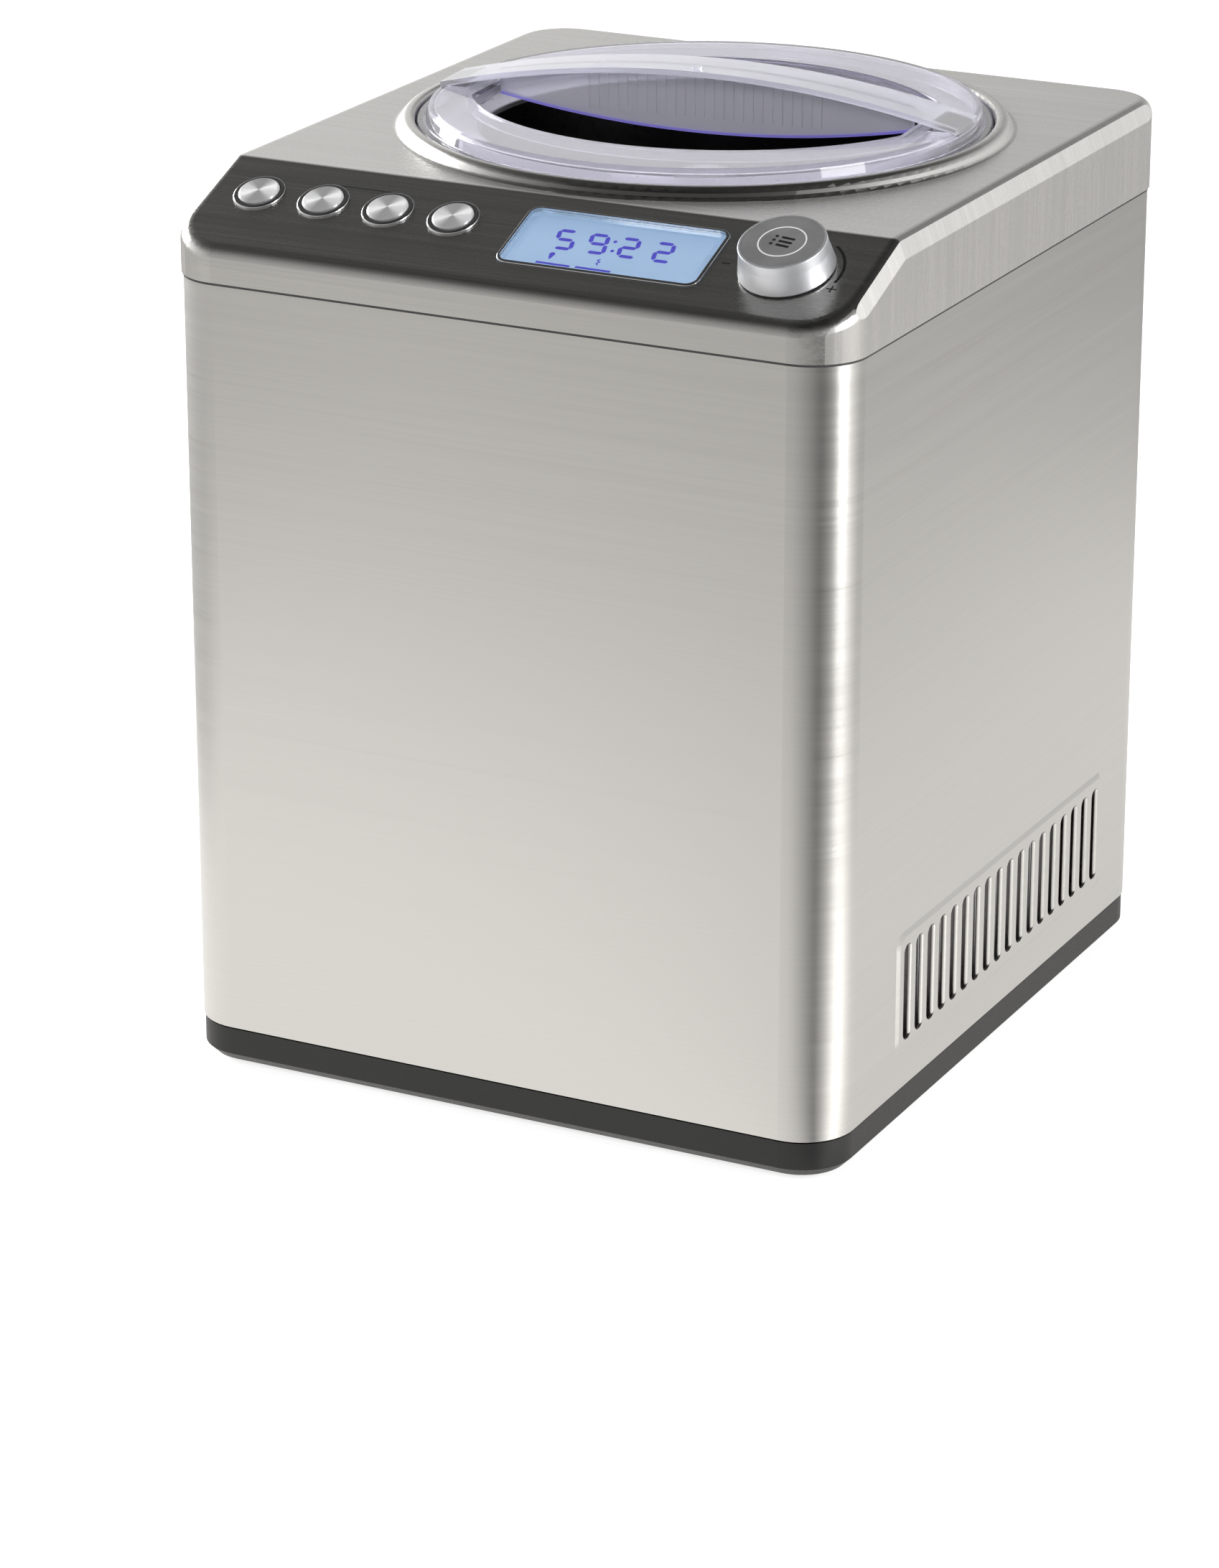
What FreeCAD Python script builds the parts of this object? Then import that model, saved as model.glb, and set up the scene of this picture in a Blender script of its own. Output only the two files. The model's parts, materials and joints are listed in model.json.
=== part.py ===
import FreeCAD, Part
import math
import os

from FreeCAD import Placement, Rotation, Vector

# Free-standing compressor ice cream maker, millimetres, +Z up, front towards -Y.
# The origin is on the table under the middle of the casing.

# Casing
BODY_WIDTH = 280.0
BODY_DEPTH = 308.0
BODY_HEIGHT = 300.0
CORNER_RADIUS = 22.0
SHEET = 1.0
BASE_HEIGHT = 15.0
FOOT_DROP = 3.0
COVER_RISE = 35.0
COVER_OVERHANG = 0.8
SEAM_GAP = 1.0
FIT_GAP = 0.3
EDGE_PICK = 0.01
SCREW_HOLE_RADIUS = 2.0
PLASTIC_WALL = 2.5

# Control panel, measured down its slope from the upper edge
PANEL_SLOPE = 22.0
PANEL_RUN = 53.0
PANEL_TOP_BLEND = 4.0
COVER_EDGE_ROUND = 6.0
SIDE_BEVEL_WIDTH = 3.0
SIDE_BEVEL_HEIGHT = 7.3
BUTTON_COUNT = 4
BUTTON_PITCH = 27.5
BUTTON_FIRST_X = -115.2
BUTTON_DOWN = 21.8
BUTTON_RADIUS = 7.9
BUTTON_PROUD = 1.9
BUTTON_TRAVEL = 1.0
BUTTON_RING_RADIUS = 10.1
BUTTON_RING_PROUD = 1.1
DISPLAY_WIDTH = 82.0
DISPLAY_HEIGHT = 35.0
DISPLAY_RADIUS = 5.0
DISPLAY_X = 34.8
DISPLAY_DOWN = 25.6
KNOB_X = 104.5
KNOB_DOWN = 25.5
KNOB_BASE_RADIUS = 18.0
KNOB_TOP_RADIUS = 16.2
KNOB_HEIGHT = 11.6
KNOB_PUSH = 0.5
BOARD_DEPTH = 14.4
BOARD_THICKNESS = 1.6

# Collar and lid, about one upright axis
LID_BACK = 22.0
LID_RADIUS = 111.3
LID_WALL = 2.4
LID_STEP = 4.3
LID_RING_WIDTH = 7.0
LID_RING_END_WIDTH = 19.0
LID_OPEN_SHIFT = 24.0
LID_TOP = 9.0
COLLAR_GAP = 0.7
COLLAR_WIDTH = 9.5
COLLAR_HEIGHT = 4.8
LID_FLANGE_TOP = 3.4
LID_TURN = 5.0
LID_TWIST = 20.0
HANDLE_WIDTH = 25.0
HANDLE_THICKNESS = 2.2
HANDLE_PEAK = 23.5
HANDLE_END = 10.0
WEB_THICKNESS = 3.0
WEB_END_GAP = 3.0
WEB_BOTTOM = -3.2
WEB_END_BOTTOM = 5.0

# Bowl, drum and insulation
BOWL_FLANGE_WIDTH = 25.2
BOWL_DEPTH = 126.0
BOWL_WALL = 1.2
BOWL_FLANGE = 2.0
CHIMNEY_RADIUS = 9.5
CHIMNEY_DROP = 40.0
DRUM_CLEARANCE = 1.3
DRUM_WALL = 1.5
SEAT_WIDTH = 4.0
COIL_TUBE_RADIUS = 4.0
COIL_TURNS = 8
COIL_PITCH = 13.0
FOAM_THICKNESS = 14.6
FOAM_FLOOR = 24.5

# Drive
SHAFT_RADIUS = 5.0
SHAFT_HEX = 9.0
RUNNING_FIT = 0.05
PRESSURE_ANGLE = 20.0
PINION_TEETH = 16
WHEEL_TEETH = 48
SLOW_MODULE = 1.25
FAST_MODULE = 1.0
GEAR_BACKLASH = 0.3
GEAR_WIDTH = 9.0
GEARBOX_HEIGHT = 43.0
MOTOR_RADIUS = 28.0
MOTOR_LENGTH = 66.0

# Cooling and electrics
COMPRESSOR_WIDTH = 100.0
COMPRESSOR_DEPTH = 118.0
COMPRESSOR_HEIGHT = 108.0
COMPRESSOR_X = -70.0
COMPRESSOR_BACK_GAP = 23.0
GROMMET_HEIGHT = 14.0
CONDENSER_ROWS = 6
CONDENSER_PITCH = 20.0
CONDENSER_LENGTH = 173.0
CONDENSER_DEPTH = 24.0
CONDENSER_WALL_GAP = 15.0
FIN_COUNT = 24
FIN_THICKNESS = 0.6
PIPE_RADIUS = 3.0
FAN_RADIUS = 46.0
FAN_BLADES = 6
VENT_SLOTS = 18
VENT_PITCH = 10.9
VENT_SLOT_WIDTH = 7.4
VENT_SLOT_HEIGHT = 39.0
VENT_BOTTOM = 19.5
VENT_BACK = 7.0
VENT_LIP_RADIUS = 1.4
VENT_PAD_MARGIN = 5.5
PAD_EDGE_RUN = 2.4

# Heights and planes that follow from the driving sizes
STEEL_Z = FOOT_DROP + BASE_HEIGHT
SEAM_Z = STEEL_Z + BODY_HEIGHT
TOP_Z = SEAM_Z + COVER_RISE
SHELL_TOP_Z = SEAM_Z - SEAM_GAP
SHELL_WIDTH = BODY_WIDTH - 2 * COVER_OVERHANG
SHELL_DEPTH = BODY_DEPTH - 2 * COVER_OVERHANG
SHELL_RADIUS = CORNER_RADIUS - COVER_OVERHANG
PANEL_TOP_Y = PANEL_RUN - BODY_DEPTH / 2
PANEL = Placement(Vector(0, PANEL_TOP_Y, TOP_Z), Rotation(Vector(1, 0, 0), PANEL_SLOPE))
BOWL_FLANGE_Z = TOP_Z - 4.0
DRUM_FLANGE = 2.0
LID_STEP_RADIUS = LID_RADIUS - LID_STEP
LID_OPEN_ARC = LID_STEP_RADIUS - LID_RING_WIDTH
LID_OPEN_HALF = LID_STEP_RADIUS - LID_RING_END_WIDTH
WEB_HALF_LENGTH = LID_OPEN_HALF - WEB_END_GAP
COLLAR_OPENING = LID_RADIUS + COLLAR_GAP
COLLAR_RADIUS = COLLAR_OPENING + COLLAR_WIDTH
BOWL_FLANGE_RADIUS = LID_RADIUS - 0.1
BOWL_RADIUS = BOWL_FLANGE_RADIUS - BOWL_FLANGE_WIDTH
DRUM_FLANGE_RADIUS = COLLAR_OPENING + SEAT_WIDTH
DRUM_RADIUS = BOWL_RADIUS + BOWL_WALL + DRUM_CLEARANCE
DRUM_FLOOR_Z = TOP_Z - BOWL_DEPTH - 5.0
COIL_RADIUS = DRUM_RADIUS + DRUM_WALL + COIL_TUBE_RADIUS + 0.2
FOAM_INNER = COIL_RADIUS + COIL_TUBE_RADIUS + FIT_GAP
HOUSING_INNER = FOAM_INNER + FOAM_THICKNESS + FIT_GAP
HOUSING_RADIUS = HOUSING_INNER + PLASTIC_WALL
HOUSING_FLOOR_Z = DRUM_FLOOR_Z - DRUM_WALL - FIT_GAP - FOAM_FLOOR - PLASTIC_WALL
BASE_FLOOR_Z = STEEL_Z - 3.0
PLATE_THICKNESS = 1.5
PLATE_Z = BASE_FLOOR_Z + PLATE_THICKNESS


def at_height(z):
    return lambda a, b: Vector(a, b, z)


def across(x):
    return lambda a, b: Vector(x, a, b)


def facing(y):
    return lambda a, b: Vector(a, y, b)


def rounded_face(corners, place):
    """Flat face through (a, b, radius) corners; place turns (a, b) into a point."""
    starts = []
    mids = []
    ends = []
    for i, (a, b, radius) in enumerate(corners):
        here = Vector(a, b, 0)
        behind = Vector(corners[i - 1][0], corners[i - 1][1], 0) - here
        ahead_corner = corners[(i + 1) % len(corners)]
        ahead = Vector(ahead_corner[0], ahead_corner[1], 0) - here
        behind.normalize()
        ahead.normalize()
        half = behind.getAngle(ahead) / 2
        reach = radius / math.tan(half)
        middle = behind + ahead
        if middle.Length > 0:
            middle.normalize()
        starts.append(here + behind * reach)
        ends.append(here + ahead * reach)
        mids.append(here + middle * (radius / math.sin(half) - radius))
    edges = []
    for i, (a, b, radius) in enumerate(corners):
        line_start = place(ends[i - 1].x, ends[i - 1].y)
        line_end = place(starts[i].x, starts[i].y)
        if line_start.distanceToPoint(line_end) > 1e-6:
            edges.append(Part.LineSegment(line_start, line_end).toShape())
        if radius > 0:
            arc_points = [place(p.x, p.y) for p in (starts[i], mids[i], ends[i])]
            edges.append(Part.Arc(*arc_points).toShape())
    return Part.Face(Part.Wire(edges))


def rectangle(width, height, radius, a=0.0, b=0.0):
    signs = ((-1, -1), (1, -1), (1, 1), (-1, 1))
    return [(a + sa * width / 2, b + sb * height / 2, radius) for sa, sb in signs]


def block(width, depth, radius, z0, z1, x=0.0, y=0.0):
    """Upright block with rounded corners."""
    face = rounded_face(rectangle(width, depth, radius, x, y), at_height(z0))
    return face.extrude(Vector(0, 0, z1 - z0))


def box(x0, x1, y0, y1, z0, z1):
    return Part.makeBox(x1 - x0, y1 - y0, z1 - z0, Vector(x0, y0, z0))


def frame(width, depth, radius, wall, z0, z1):
    """Upright rectangular ring whose outside is width by depth."""
    outer = block(width, depth, radius, z0, z1)
    return outer.cut(block(width - 2 * wall, depth - 2 * wall, radius - wall, z0, z1))


def rod(radius, z0, z1, x=0.0, y=0.0):
    return Part.makeCylinder(radius, z1 - z0, Vector(x, y, z0))


def tube(inner, outer, z0, z1, x=0.0, y=0.0):
    return rod(outer, z0, z1, x, y).cut(rod(inner, z0, z1, x, y))


def cross_rod(radius, x0, x1, y, z):
    return Part.makeCylinder(radius, x1 - x0, Vector(x0, y, z), Vector(1, 0, 0))


def deep_rod(radius, y0, y1, x, z):
    return Part.makeCylinder(radius, y1 - y0, Vector(x, y0, z), Vector(0, 1, 0))


def turned(corners, y=LID_BACK):
    """Solid of revolution about the upright line through (0, y)."""
    face = rounded_face(corners, facing(0.0))
    solid = face.revolve(Vector(0, 0, 0), Vector(0, 0, 1), 360)
    solid.translate(Vector(0, y, 0))
    return solid


def on_panel(shape):
    """Move a shape built flat, with the panel's surface at z = 0, onto the sloped panel."""
    moved = shape.copy()
    moved.Placement = PANEL.multiply(moved.Placement)
    return moved


def about_lid(shape, degrees):
    moved = shape.copy()
    moved.rotate(Vector(0, LID_BACK, 0), Vector(0, 0, 1), degrees)
    return moved


def polar(radius, degrees, y=LID_BACK):
    angle = math.radians(degrees)
    return radius * math.cos(angle), y + radius * math.sin(angle)


def pipe(points, radius, bend):
    """Tube along straight runs joined by tangent arcs."""
    corners = [Vector(*p) for p in points]
    edges = []
    last = corners[0]
    for before, here, after in zip(corners, corners[1:], corners[2:]):
        back = (before - here).normalize()
        onward = (after - here).normalize()
        half = back.getAngle(onward) / 2
        reach = bend / math.tan(half)
        inward = (back + onward).normalize()
        start = here + back * reach
        end = here + onward * reach
        middle = here + inward * (bend / math.sin(half) - bend)
        edges.append(Part.LineSegment(last, start).toShape())
        edges.append(Part.Arc(start, middle, end).toShape())
        last = end
    edges.append(Part.LineSegment(last, corners[-1]).toShape())
    path = Part.Wire(edges)
    ring = Part.Wire(Part.Circle(corners[0], corners[1] - corners[0], radius).toShape())
    return path.makePipeShell([ring], True, False)


def gear(teeth, module, z0, z1, y, first_tooth):
    """Spur gear with involute flanks; first_tooth is the angle of one tooth's middle."""
    pitch = teeth * module / 2
    base = pitch * math.cos(math.radians(PRESSURE_ANGLE))
    tip = pitch + 0.8 * module
    root = pitch - 1.05 * module
    pressure = math.radians(PRESSURE_ANGLE)
    half_at_base = math.pi / (2 * teeth) - GEAR_BACKLASH / (4 * pitch) + math.tan(pressure) - pressure

    def point(radius, angle):
        return Vector(radius * math.cos(angle), radius * math.sin(angle), z0)

    def half_tooth(radius):
        roll = math.acos(min(1.0, base / radius))
        return half_at_base - (math.tan(roll) - roll)

    flank_foot = max(base, root)
    flank_radii = [flank_foot + (tip - flank_foot) * step / 4 for step in range(5)]
    step_angle = 2 * math.pi / teeth
    edges = []
    for tooth in range(teeth):
        middle = math.radians(first_tooth) + tooth * step_angle
        rising = [point(r, middle - half_tooth(r)) for r in flank_radii]
        falling = [point(r, middle + half_tooth(r)) for r in reversed(flank_radii)]
        root_left = point(root, middle - half_tooth(flank_foot))
        root_right = point(root, middle + half_tooth(flank_foot))
        next_root = point(root, middle + step_angle - half_tooth(flank_foot))
        if root < base:
            edges.append(Part.LineSegment(root_left, rising[0]).toShape())
        for flank in (rising, falling):
            curve = Part.BSplineCurve()
            curve.interpolate(flank)
            edges.append(curve.toShape())
            if flank is rising:
                edges.append(Part.Arc(rising[-1], point(tip, middle), falling[0]).toShape())
        if root < base:
            edges.append(Part.LineSegment(falling[-1], root_right).toShape())
        gap_middle = point(root, middle + step_angle / 2)
        edges.append(Part.Arc(root_right, gap_middle, next_root).toShape())
    solid = Part.Face(Part.Wire(edges)).extrude(Vector(0, 0, z1 - z0))
    solid.translate(Vector(0, y, 0))
    return solid


def screw(length, head_radius=3.4, head_height=2.2, shank_radius=1.9):
    """Pan-head screw, shank down from the origin, head above it."""
    return rod(shank_radius, -length, 0.0).fuse(rod(head_radius, 0.0, head_height)).removeSplitter()


def moved(shape, x, y, z):
    copy = shape.copy()
    copy.translate(Vector(x, y, z))
    return copy


def save(name, *solids):
    shape = solids[0] if len(solids) == 1 else Part.makeCompound(list(solids))
    shape.exportStep("parts/%s.step" % name)


# Base: feet, tray, plate
FOOT_RADIUS = 12.0
FOOT_X = BODY_WIDTH / 2 - 30.0
FOOT_Y = BODY_DEPTH / 2 - 30.0
FOOT_HEIGHT = FOOT_DROP + 2.0
FOOT_PLACES = [(sx * FOOT_X, sy * FOOT_Y) for sx in (-1, 1) for sy in (-1, 1)]
TRAY_INSET = 0.5
TRAY_WIDTH = SHELL_WIDTH - 2 * TRAY_INSET
TRAY_DEPTH = SHELL_DEPTH - 2 * TRAY_INSET
TRAY_RADIUS = SHELL_RADIUS - TRAY_INSET
TRAY_SEAM = 0.8
LEDGE_WIDTH = 9.0
LEDGE_INSET = 1.5
SHELL_FLANGE = 9.0
BASE_SCREW_INSET = 7.0
BASE_SCREW_HEAD = 2.8
BASE_SCREW_LENGTH = 6.0
FOOT_STEM_RADIUS = 4.0
FOOT_STEM_HEIGHT = 5.0


def base_screw_places():
    x = SHELL_WIDTH / 2 - BASE_SCREW_INSET
    y = SHELL_DEPTH / 2 - BASE_SCREW_INSET
    sides = [(sx * x, sy * BODY_DEPTH / 4) for sx in (-1, 1) for sy in (-1, 1)]
    ends = [(sx * BODY_WIDTH / 4, sy * y) for sx in (-1, 1) for sy in (-1, 1)]
    return sides + ends


def make_base():
    skirt_wall = PLASTIC_WALL
    skirt = block(TRAY_WIDTH, TRAY_DEPTH, TRAY_RADIUS, FOOT_DROP, STEEL_Z - TRAY_SEAM)
    lower_edges = [e for e in skirt.Edges if e.BoundBox.ZMax < FOOT_DROP + 0.01]
    tray = skirt.makeChamfer(skirt_wall * 1.4, lower_edges)
    hollow_width = TRAY_WIDTH - 2 * skirt_wall
    hollow_depth = TRAY_DEPTH - 2 * skirt_wall
    under = BASE_FLOOR_Z - PLASTIC_WALL
    tray = tray.cut(block(hollow_width - 2, hollow_depth - 2, TRAY_RADIUS - skirt_wall - 1, FOOT_DROP, under))
    tray = tray.cut(block(hollow_width, hollow_depth, TRAY_RADIUS - skirt_wall, BASE_FLOOR_Z, STEEL_Z))
    ledge_outer = LEDGE_INSET + TRAY_INSET
    ledge = frame(SHELL_WIDTH - 2 * ledge_outer, SHELL_DEPTH - 2 * ledge_outer,
                  SHELL_RADIUS - ledge_outer, LEDGE_WIDTH, BASE_FLOOR_Z, STEEL_Z)
    tray = tray.fuse(ledge)
    for x, y in FOOT_PLACES:
        tray = tray.fuse(rod(FOOT_RADIUS + 2, FOOT_HEIGHT, under, x, y))
        tray = tray.cut(rod(FOOT_STEM_RADIUS, FOOT_HEIGHT, FOOT_HEIGHT + FOOT_STEM_HEIGHT, x, y))
    for x, y in base_screw_places():
        tray = tray.cut(rod(2.0, FOOT_DROP, STEEL_Z, x, y))
    save("base_tray", tray.removeSplitter())

    foot = rod(FOOT_RADIUS, 0.0, FOOT_HEIGHT)
    foot = foot.makeChamfer(1.2, [e for e in foot.Edges if e.BoundBox.ZMax < 0.01])
    foot = foot.fuse(rod(FOOT_STEM_RADIUS, FOOT_HEIGHT, FOOT_HEIGHT + FOOT_STEM_HEIGHT - FIT_GAP))
    save("rubber_feet", *[moved(foot.removeSplitter(), x, y, 0.0) for x, y in FOOT_PLACES])

    screw_down = screw(BASE_SCREW_LENGTH, BASE_SCREW_HEAD)
    screw_down.rotate(Vector(0, 0, 0), Vector(1, 0, 0), 180)
    save("base_screws", *[moved(screw_down, x, y, under) for x, y in base_screw_places()])

    margin = ledge_outer + LEDGE_WIDTH + FIT_GAP
    plate = block(SHELL_WIDTH - 2 * margin, SHELL_DEPTH - 2 * margin, SHELL_RADIUS - margin,
                  BASE_FLOOR_Z, PLATE_Z)
    for x, y in grommet_places():
        plate = plate.cut(rod(BOLT_RADIUS + 0.2, BASE_FLOOR_Z, PLATE_Z, x, y))
    save("base_plate", plate)


# Steel shell, louvres and rear panel
REAR_BORDER = 30.0
REAR_LAP = 8.0
REAR_BOTTOM = 18.0
REAR_SCREW_RISES = (0.14, 0.5, 0.86)
REAR_HEAD_RADIUS = 3.8
REAR_SLOT_WIDTH = 5.0
REAR_SLOT_HEIGHT = 42.0
REAR_SLOT_PITCH = 12.0
REAR_SLOT_COUNT = 13
REAR_SLOT_ROWS = (0.36, 0.58)
INLET_X = 78.0
INLET_RISE = 52.0
INLET_WIDTH = 28.0
INLET_HEIGHT = 21.0
INLET_DEPTH = 22.0
INLET_FLANGE = 9.0
INLET_WALL = 2.0
SHELL_FRONT_Y = -SHELL_DEPTH / 2
SHELL_BACK_Y = SHELL_DEPTH / 2
SHELL_INNER_BACK = SHELL_BACK_Y - SHEET
REAR_HALF = SHELL_WIDTH / 2 - REAR_BORDER
REAR_Z0 = STEEL_Z + REAR_BOTTOM
REAR_Z1 = SHELL_TOP_Z - REAR_BOTTOM


def vent_slot_ys():
    first = VENT_BACK - VENT_PITCH * (VENT_SLOTS - 1) / 2
    return [first + VENT_PITCH * i for i in range(VENT_SLOTS)]


def louvre_lip(wall_x, slot_y):
    """Curved lip that turns in from the rear edge of one slot."""
    z0 = STEEL_Z + VENT_BOTTOM
    z1 = z0 + VENT_SLOT_HEIGHT
    axis_x = wall_x - VENT_LIP_RADIUS
    rear_y = slot_y + VENT_SLOT_WIDTH / 2
    solids = []
    for radius in (VENT_LIP_RADIUS, VENT_LIP_RADIUS - SHEET):
        capsule = rod(radius, z0 + VENT_LIP_RADIUS, z1 - VENT_LIP_RADIUS, axis_x, rear_y)
        for z in (z0 + VENT_LIP_RADIUS, z1 - VENT_LIP_RADIUS):
            capsule = capsule.fuse(Part.makeSphere(radius, Vector(axis_x, rear_y, z)))
        solids.append(capsule)
    shell = solids[0].cut(solids[1])
    kept = box(axis_x, wall_x, rear_y - VENT_LIP_RADIUS, rear_y + 0.2, z0, z1)
    return shell.common(kept)


def vented_side():
    """Raised pad with its slots and lips for the right wall, and what the wall loses."""
    wall_x = SHELL_WIDTH / 2
    pad_x = BODY_WIDTH / 2
    rise = pad_x - wall_x
    face_low = rounded_face(pad_outline(0.0), across(wall_x))
    face_high = rounded_face(pad_outline(rise * PAD_EDGE_RUN), across(pad_x))
    raised = Part.makeLoft([face_low.OuterWire, face_high.OuterWire], True, True)
    inner_low = rounded_face(pad_outline(SHEET), across(wall_x - SHEET))
    inner_high = rounded_face(pad_outline(SHEET + rise * PAD_EDGE_RUN), across(pad_x - SHEET))
    hollow = Part.makeLoft([inner_low.OuterWire, inner_high.OuterWire], True, True)
    z_middle = STEEL_Z + VENT_BOTTOM + VENT_SLOT_HEIGHT / 2
    slots = []
    lips = []
    for y in vent_slot_ys():
        outline = rectangle(VENT_SLOT_WIDTH, VENT_SLOT_HEIGHT, VENT_SLOT_WIDTH * 0.45, y, z_middle)
        slot = rounded_face(outline, across(wall_x - 2 * SHEET)).extrude(Vector(2 * SHEET + rise, 0, 0))
        slots.append(slot)
        lips.append(louvre_lip(pad_x, y))
    return raised, hollow, slots, lips


def pad_outline(inset):
    length = VENT_PITCH * (VENT_SLOTS - 1) + VENT_SLOT_WIDTH + 2 * VENT_PAD_MARGIN - 2 * inset
    height = VENT_SLOT_HEIGHT + 2 * VENT_PAD_MARGIN - 2 * inset
    middle = STEEL_Z + VENT_BOTTOM + VENT_SLOT_HEIGHT / 2
    return rectangle(length, height, VENT_PAD_MARGIN, VENT_BACK, middle)


def rear_screw_places():
    x = REAR_HALF + REAR_LAP / 2
    return [(sx * x, REAR_Z0 + (REAR_Z1 - REAR_Z0) * rise) for sx in (-1, 1) for rise in REAR_SCREW_RISES]


def make_shell():
    shell = frame(SHELL_WIDTH, SHELL_DEPTH, SHELL_RADIUS, SHEET, STEEL_Z, SHELL_TOP_Z)
    shell = shell.fuse(frame(SHELL_WIDTH - SHEET, SHELL_DEPTH - SHEET, SHELL_RADIUS - SHEET / 2,
                             SHELL_FLANGE, STEEL_Z, STEEL_Z + SHEET))
    for x, y in base_screw_places():
        shell = shell.cut(rod(2.0, STEEL_Z, STEEL_Z + SHEET, x, y))
    window = rounded_face(rectangle(2 * REAR_HALF, REAR_Z1 - REAR_Z0, 6.0, 0.0, (REAR_Z0 + REAR_Z1) / 2),
                          facing(SHELL_INNER_BACK))
    shell = shell.cut(window.extrude(Vector(0, SHEET, 0)))
    for x, z in rear_screw_places():
        shell = shell.cut(deep_rod(2.0, SHELL_INNER_BACK, SHELL_BACK_Y, x, z))
    raised, hollow, slots, lips = vented_side()
    for side in (1, -1):
        tools = [raised, hollow] + slots + lips
        if side < 0:
            tools = [t.mirror(Vector(0, 0, 0), Vector(1, 0, 0)) for t in tools]
        shell = shell.fuse(tools[0]).cut(tools[1])
        shell = shell.cut(Part.makeCompound(tools[2:2 + VENT_SLOTS]))
        shell = shell.fuse(tools[2 + VENT_SLOTS:])
    save("body_shell", shell)


def make_rear():
    y0 = SHELL_INNER_BACK - SHEET
    middle = (REAR_Z0 + REAR_Z1) / 2
    height = REAR_Z1 - REAR_Z0
    outline = rectangle(2 * (REAR_HALF + REAR_LAP), height + 2 * REAR_LAP, 6.0, 0.0, middle)
    panel = rounded_face(outline, facing(y0)).extrude(Vector(0, SHEET, 0))
    slot_tools = []
    for row in REAR_SLOT_ROWS:
        for i in range(REAR_SLOT_COUNT):
            x = (i - (REAR_SLOT_COUNT - 1) / 2) * REAR_SLOT_PITCH
            z = REAR_Z0 + height * row
            slot = rounded_face(rectangle(REAR_SLOT_WIDTH, REAR_SLOT_HEIGHT, REAR_SLOT_WIDTH * 0.48, x, z),
                                facing(y0))
            slot_tools.append(slot.extrude(Vector(0, SHEET, 0)))
    panel = panel.cut(Part.makeCompound(slot_tools))
    for x, z in rear_screw_places():
        panel = panel.cut(deep_rod(2.0, y0, y0 + SHEET, x, z))
    inlet_z = REAR_Z0 + INLET_RISE
    body_outline = rectangle(INLET_WIDTH, INLET_HEIGHT, 2.0, INLET_X, inlet_z)
    hole_outline = rectangle(INLET_WIDTH + 2 * FIT_GAP, INLET_HEIGHT + 2 * FIT_GAP, 2.0 + FIT_GAP,
                             INLET_X, inlet_z)
    panel = panel.cut(rounded_face(hole_outline, facing(y0)).extrude(Vector(0, SHEET, 0)))
    save("rear_panel", panel)

    back_screw = screw(2 * SHEET + 4.0, REAR_HEAD_RADIUS, COVER_OVERHANG)
    back_screw.rotate(Vector(0, 0, 0), Vector(1, 0, 0), -90)
    save("rear_screws", *[moved(back_screw, x, SHELL_BACK_Y, z) for x, z in rear_screw_places()])

    face_y = y0 + SHEET
    inlet = rounded_face(body_outline, facing(face_y - INLET_DEPTH)).extrude(Vector(0, INLET_DEPTH, 0))
    flange_outline = rectangle(INLET_WIDTH + 2 * INLET_FLANGE, INLET_HEIGHT + 4.0, 4.0, INLET_X, inlet_z)
    flange = rounded_face(flange_outline, facing(face_y)).extrude(Vector(0, SHEET + COVER_OVERHANG, 0))
    inlet = inlet.fuse(flange)
    recess = rectangle(INLET_WIDTH - 2 * INLET_WALL, INLET_HEIGHT - 2 * INLET_WALL, 3.0, INLET_X, inlet_z)
    recess_y = face_y - INLET_DEPTH + 2 * INLET_WALL
    inlet = inlet.cut(rounded_face(recess, facing(recess_y)).extrude(Vector(0, INLET_DEPTH, 0)))
    pins = []
    for x, z in ((-7.0, -1.5), (0.0, 2.5), (7.0, -1.5)):
        pins.append(box(INLET_X + x - 1.0, INLET_X + x + 1.0, recess_y, face_y - 3.0,
                        inlet_z + z - 2.0, inlet_z + z + 2.0))
    save("mains_inlet", inlet.removeSplitter(), *pins)


# Top frame and cover
FRAME_PLATE = 4.0
FRAME_LIP_OUT = 0.5
PANEL_FRONT_RISE = COVER_RISE - PANEL_RUN * math.tan(math.radians(PANEL_SLOPE))
FRAME_RIM_SHARE = 0.589
FRAME_RIM_HEIGHT = PANEL_FRONT_RISE * FRAME_RIM_SHARE
FRAME_HOLE_RADIUS = HOUSING_RADIUS + 1.0
HOUSING_EAR_RADIUS = HOUSING_RADIUS + 10.0
HOUSING_EAR_Z = SHELL_TOP_Z
HOUSING_EAR_HEIGHT = 3.0
HOUSING_SCREW_ANGLES = (45.0, 135.0, 225.0, 315.0)
BOARD_WIDTH = BODY_WIDTH - 28.0
BOARD_UP = -5.0
BOARD_DOWN = -47.0
BOARD_POST_RADIUS = 4.0
BOARD_POST_X = BOARD_WIDTH / 2 - 8.0
COLLAR_FLANGE_DROP = 1.5


def board_post_places():
    return [(sx * BOARD_POST_X, v) for sx in (-1, 1) for v in (BOARD_UP - 6.0, BOARD_DOWN + 6.0)]


def is_panel_top(edge):
    """True for the two level lines where the panel turns into the flat top."""
    box_of = edge.BoundBox
    level = box_of.YLength < 0.01 and box_of.ZLength < 0.01
    return level and abs(box_of.YMin - PANEL_TOP_Y) < PANEL_TOP_BLEND


def is_upright(edge):
    return edge.BoundBox.XLength < 0.01 and edge.BoundBox.YLength < 0.01


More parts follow.
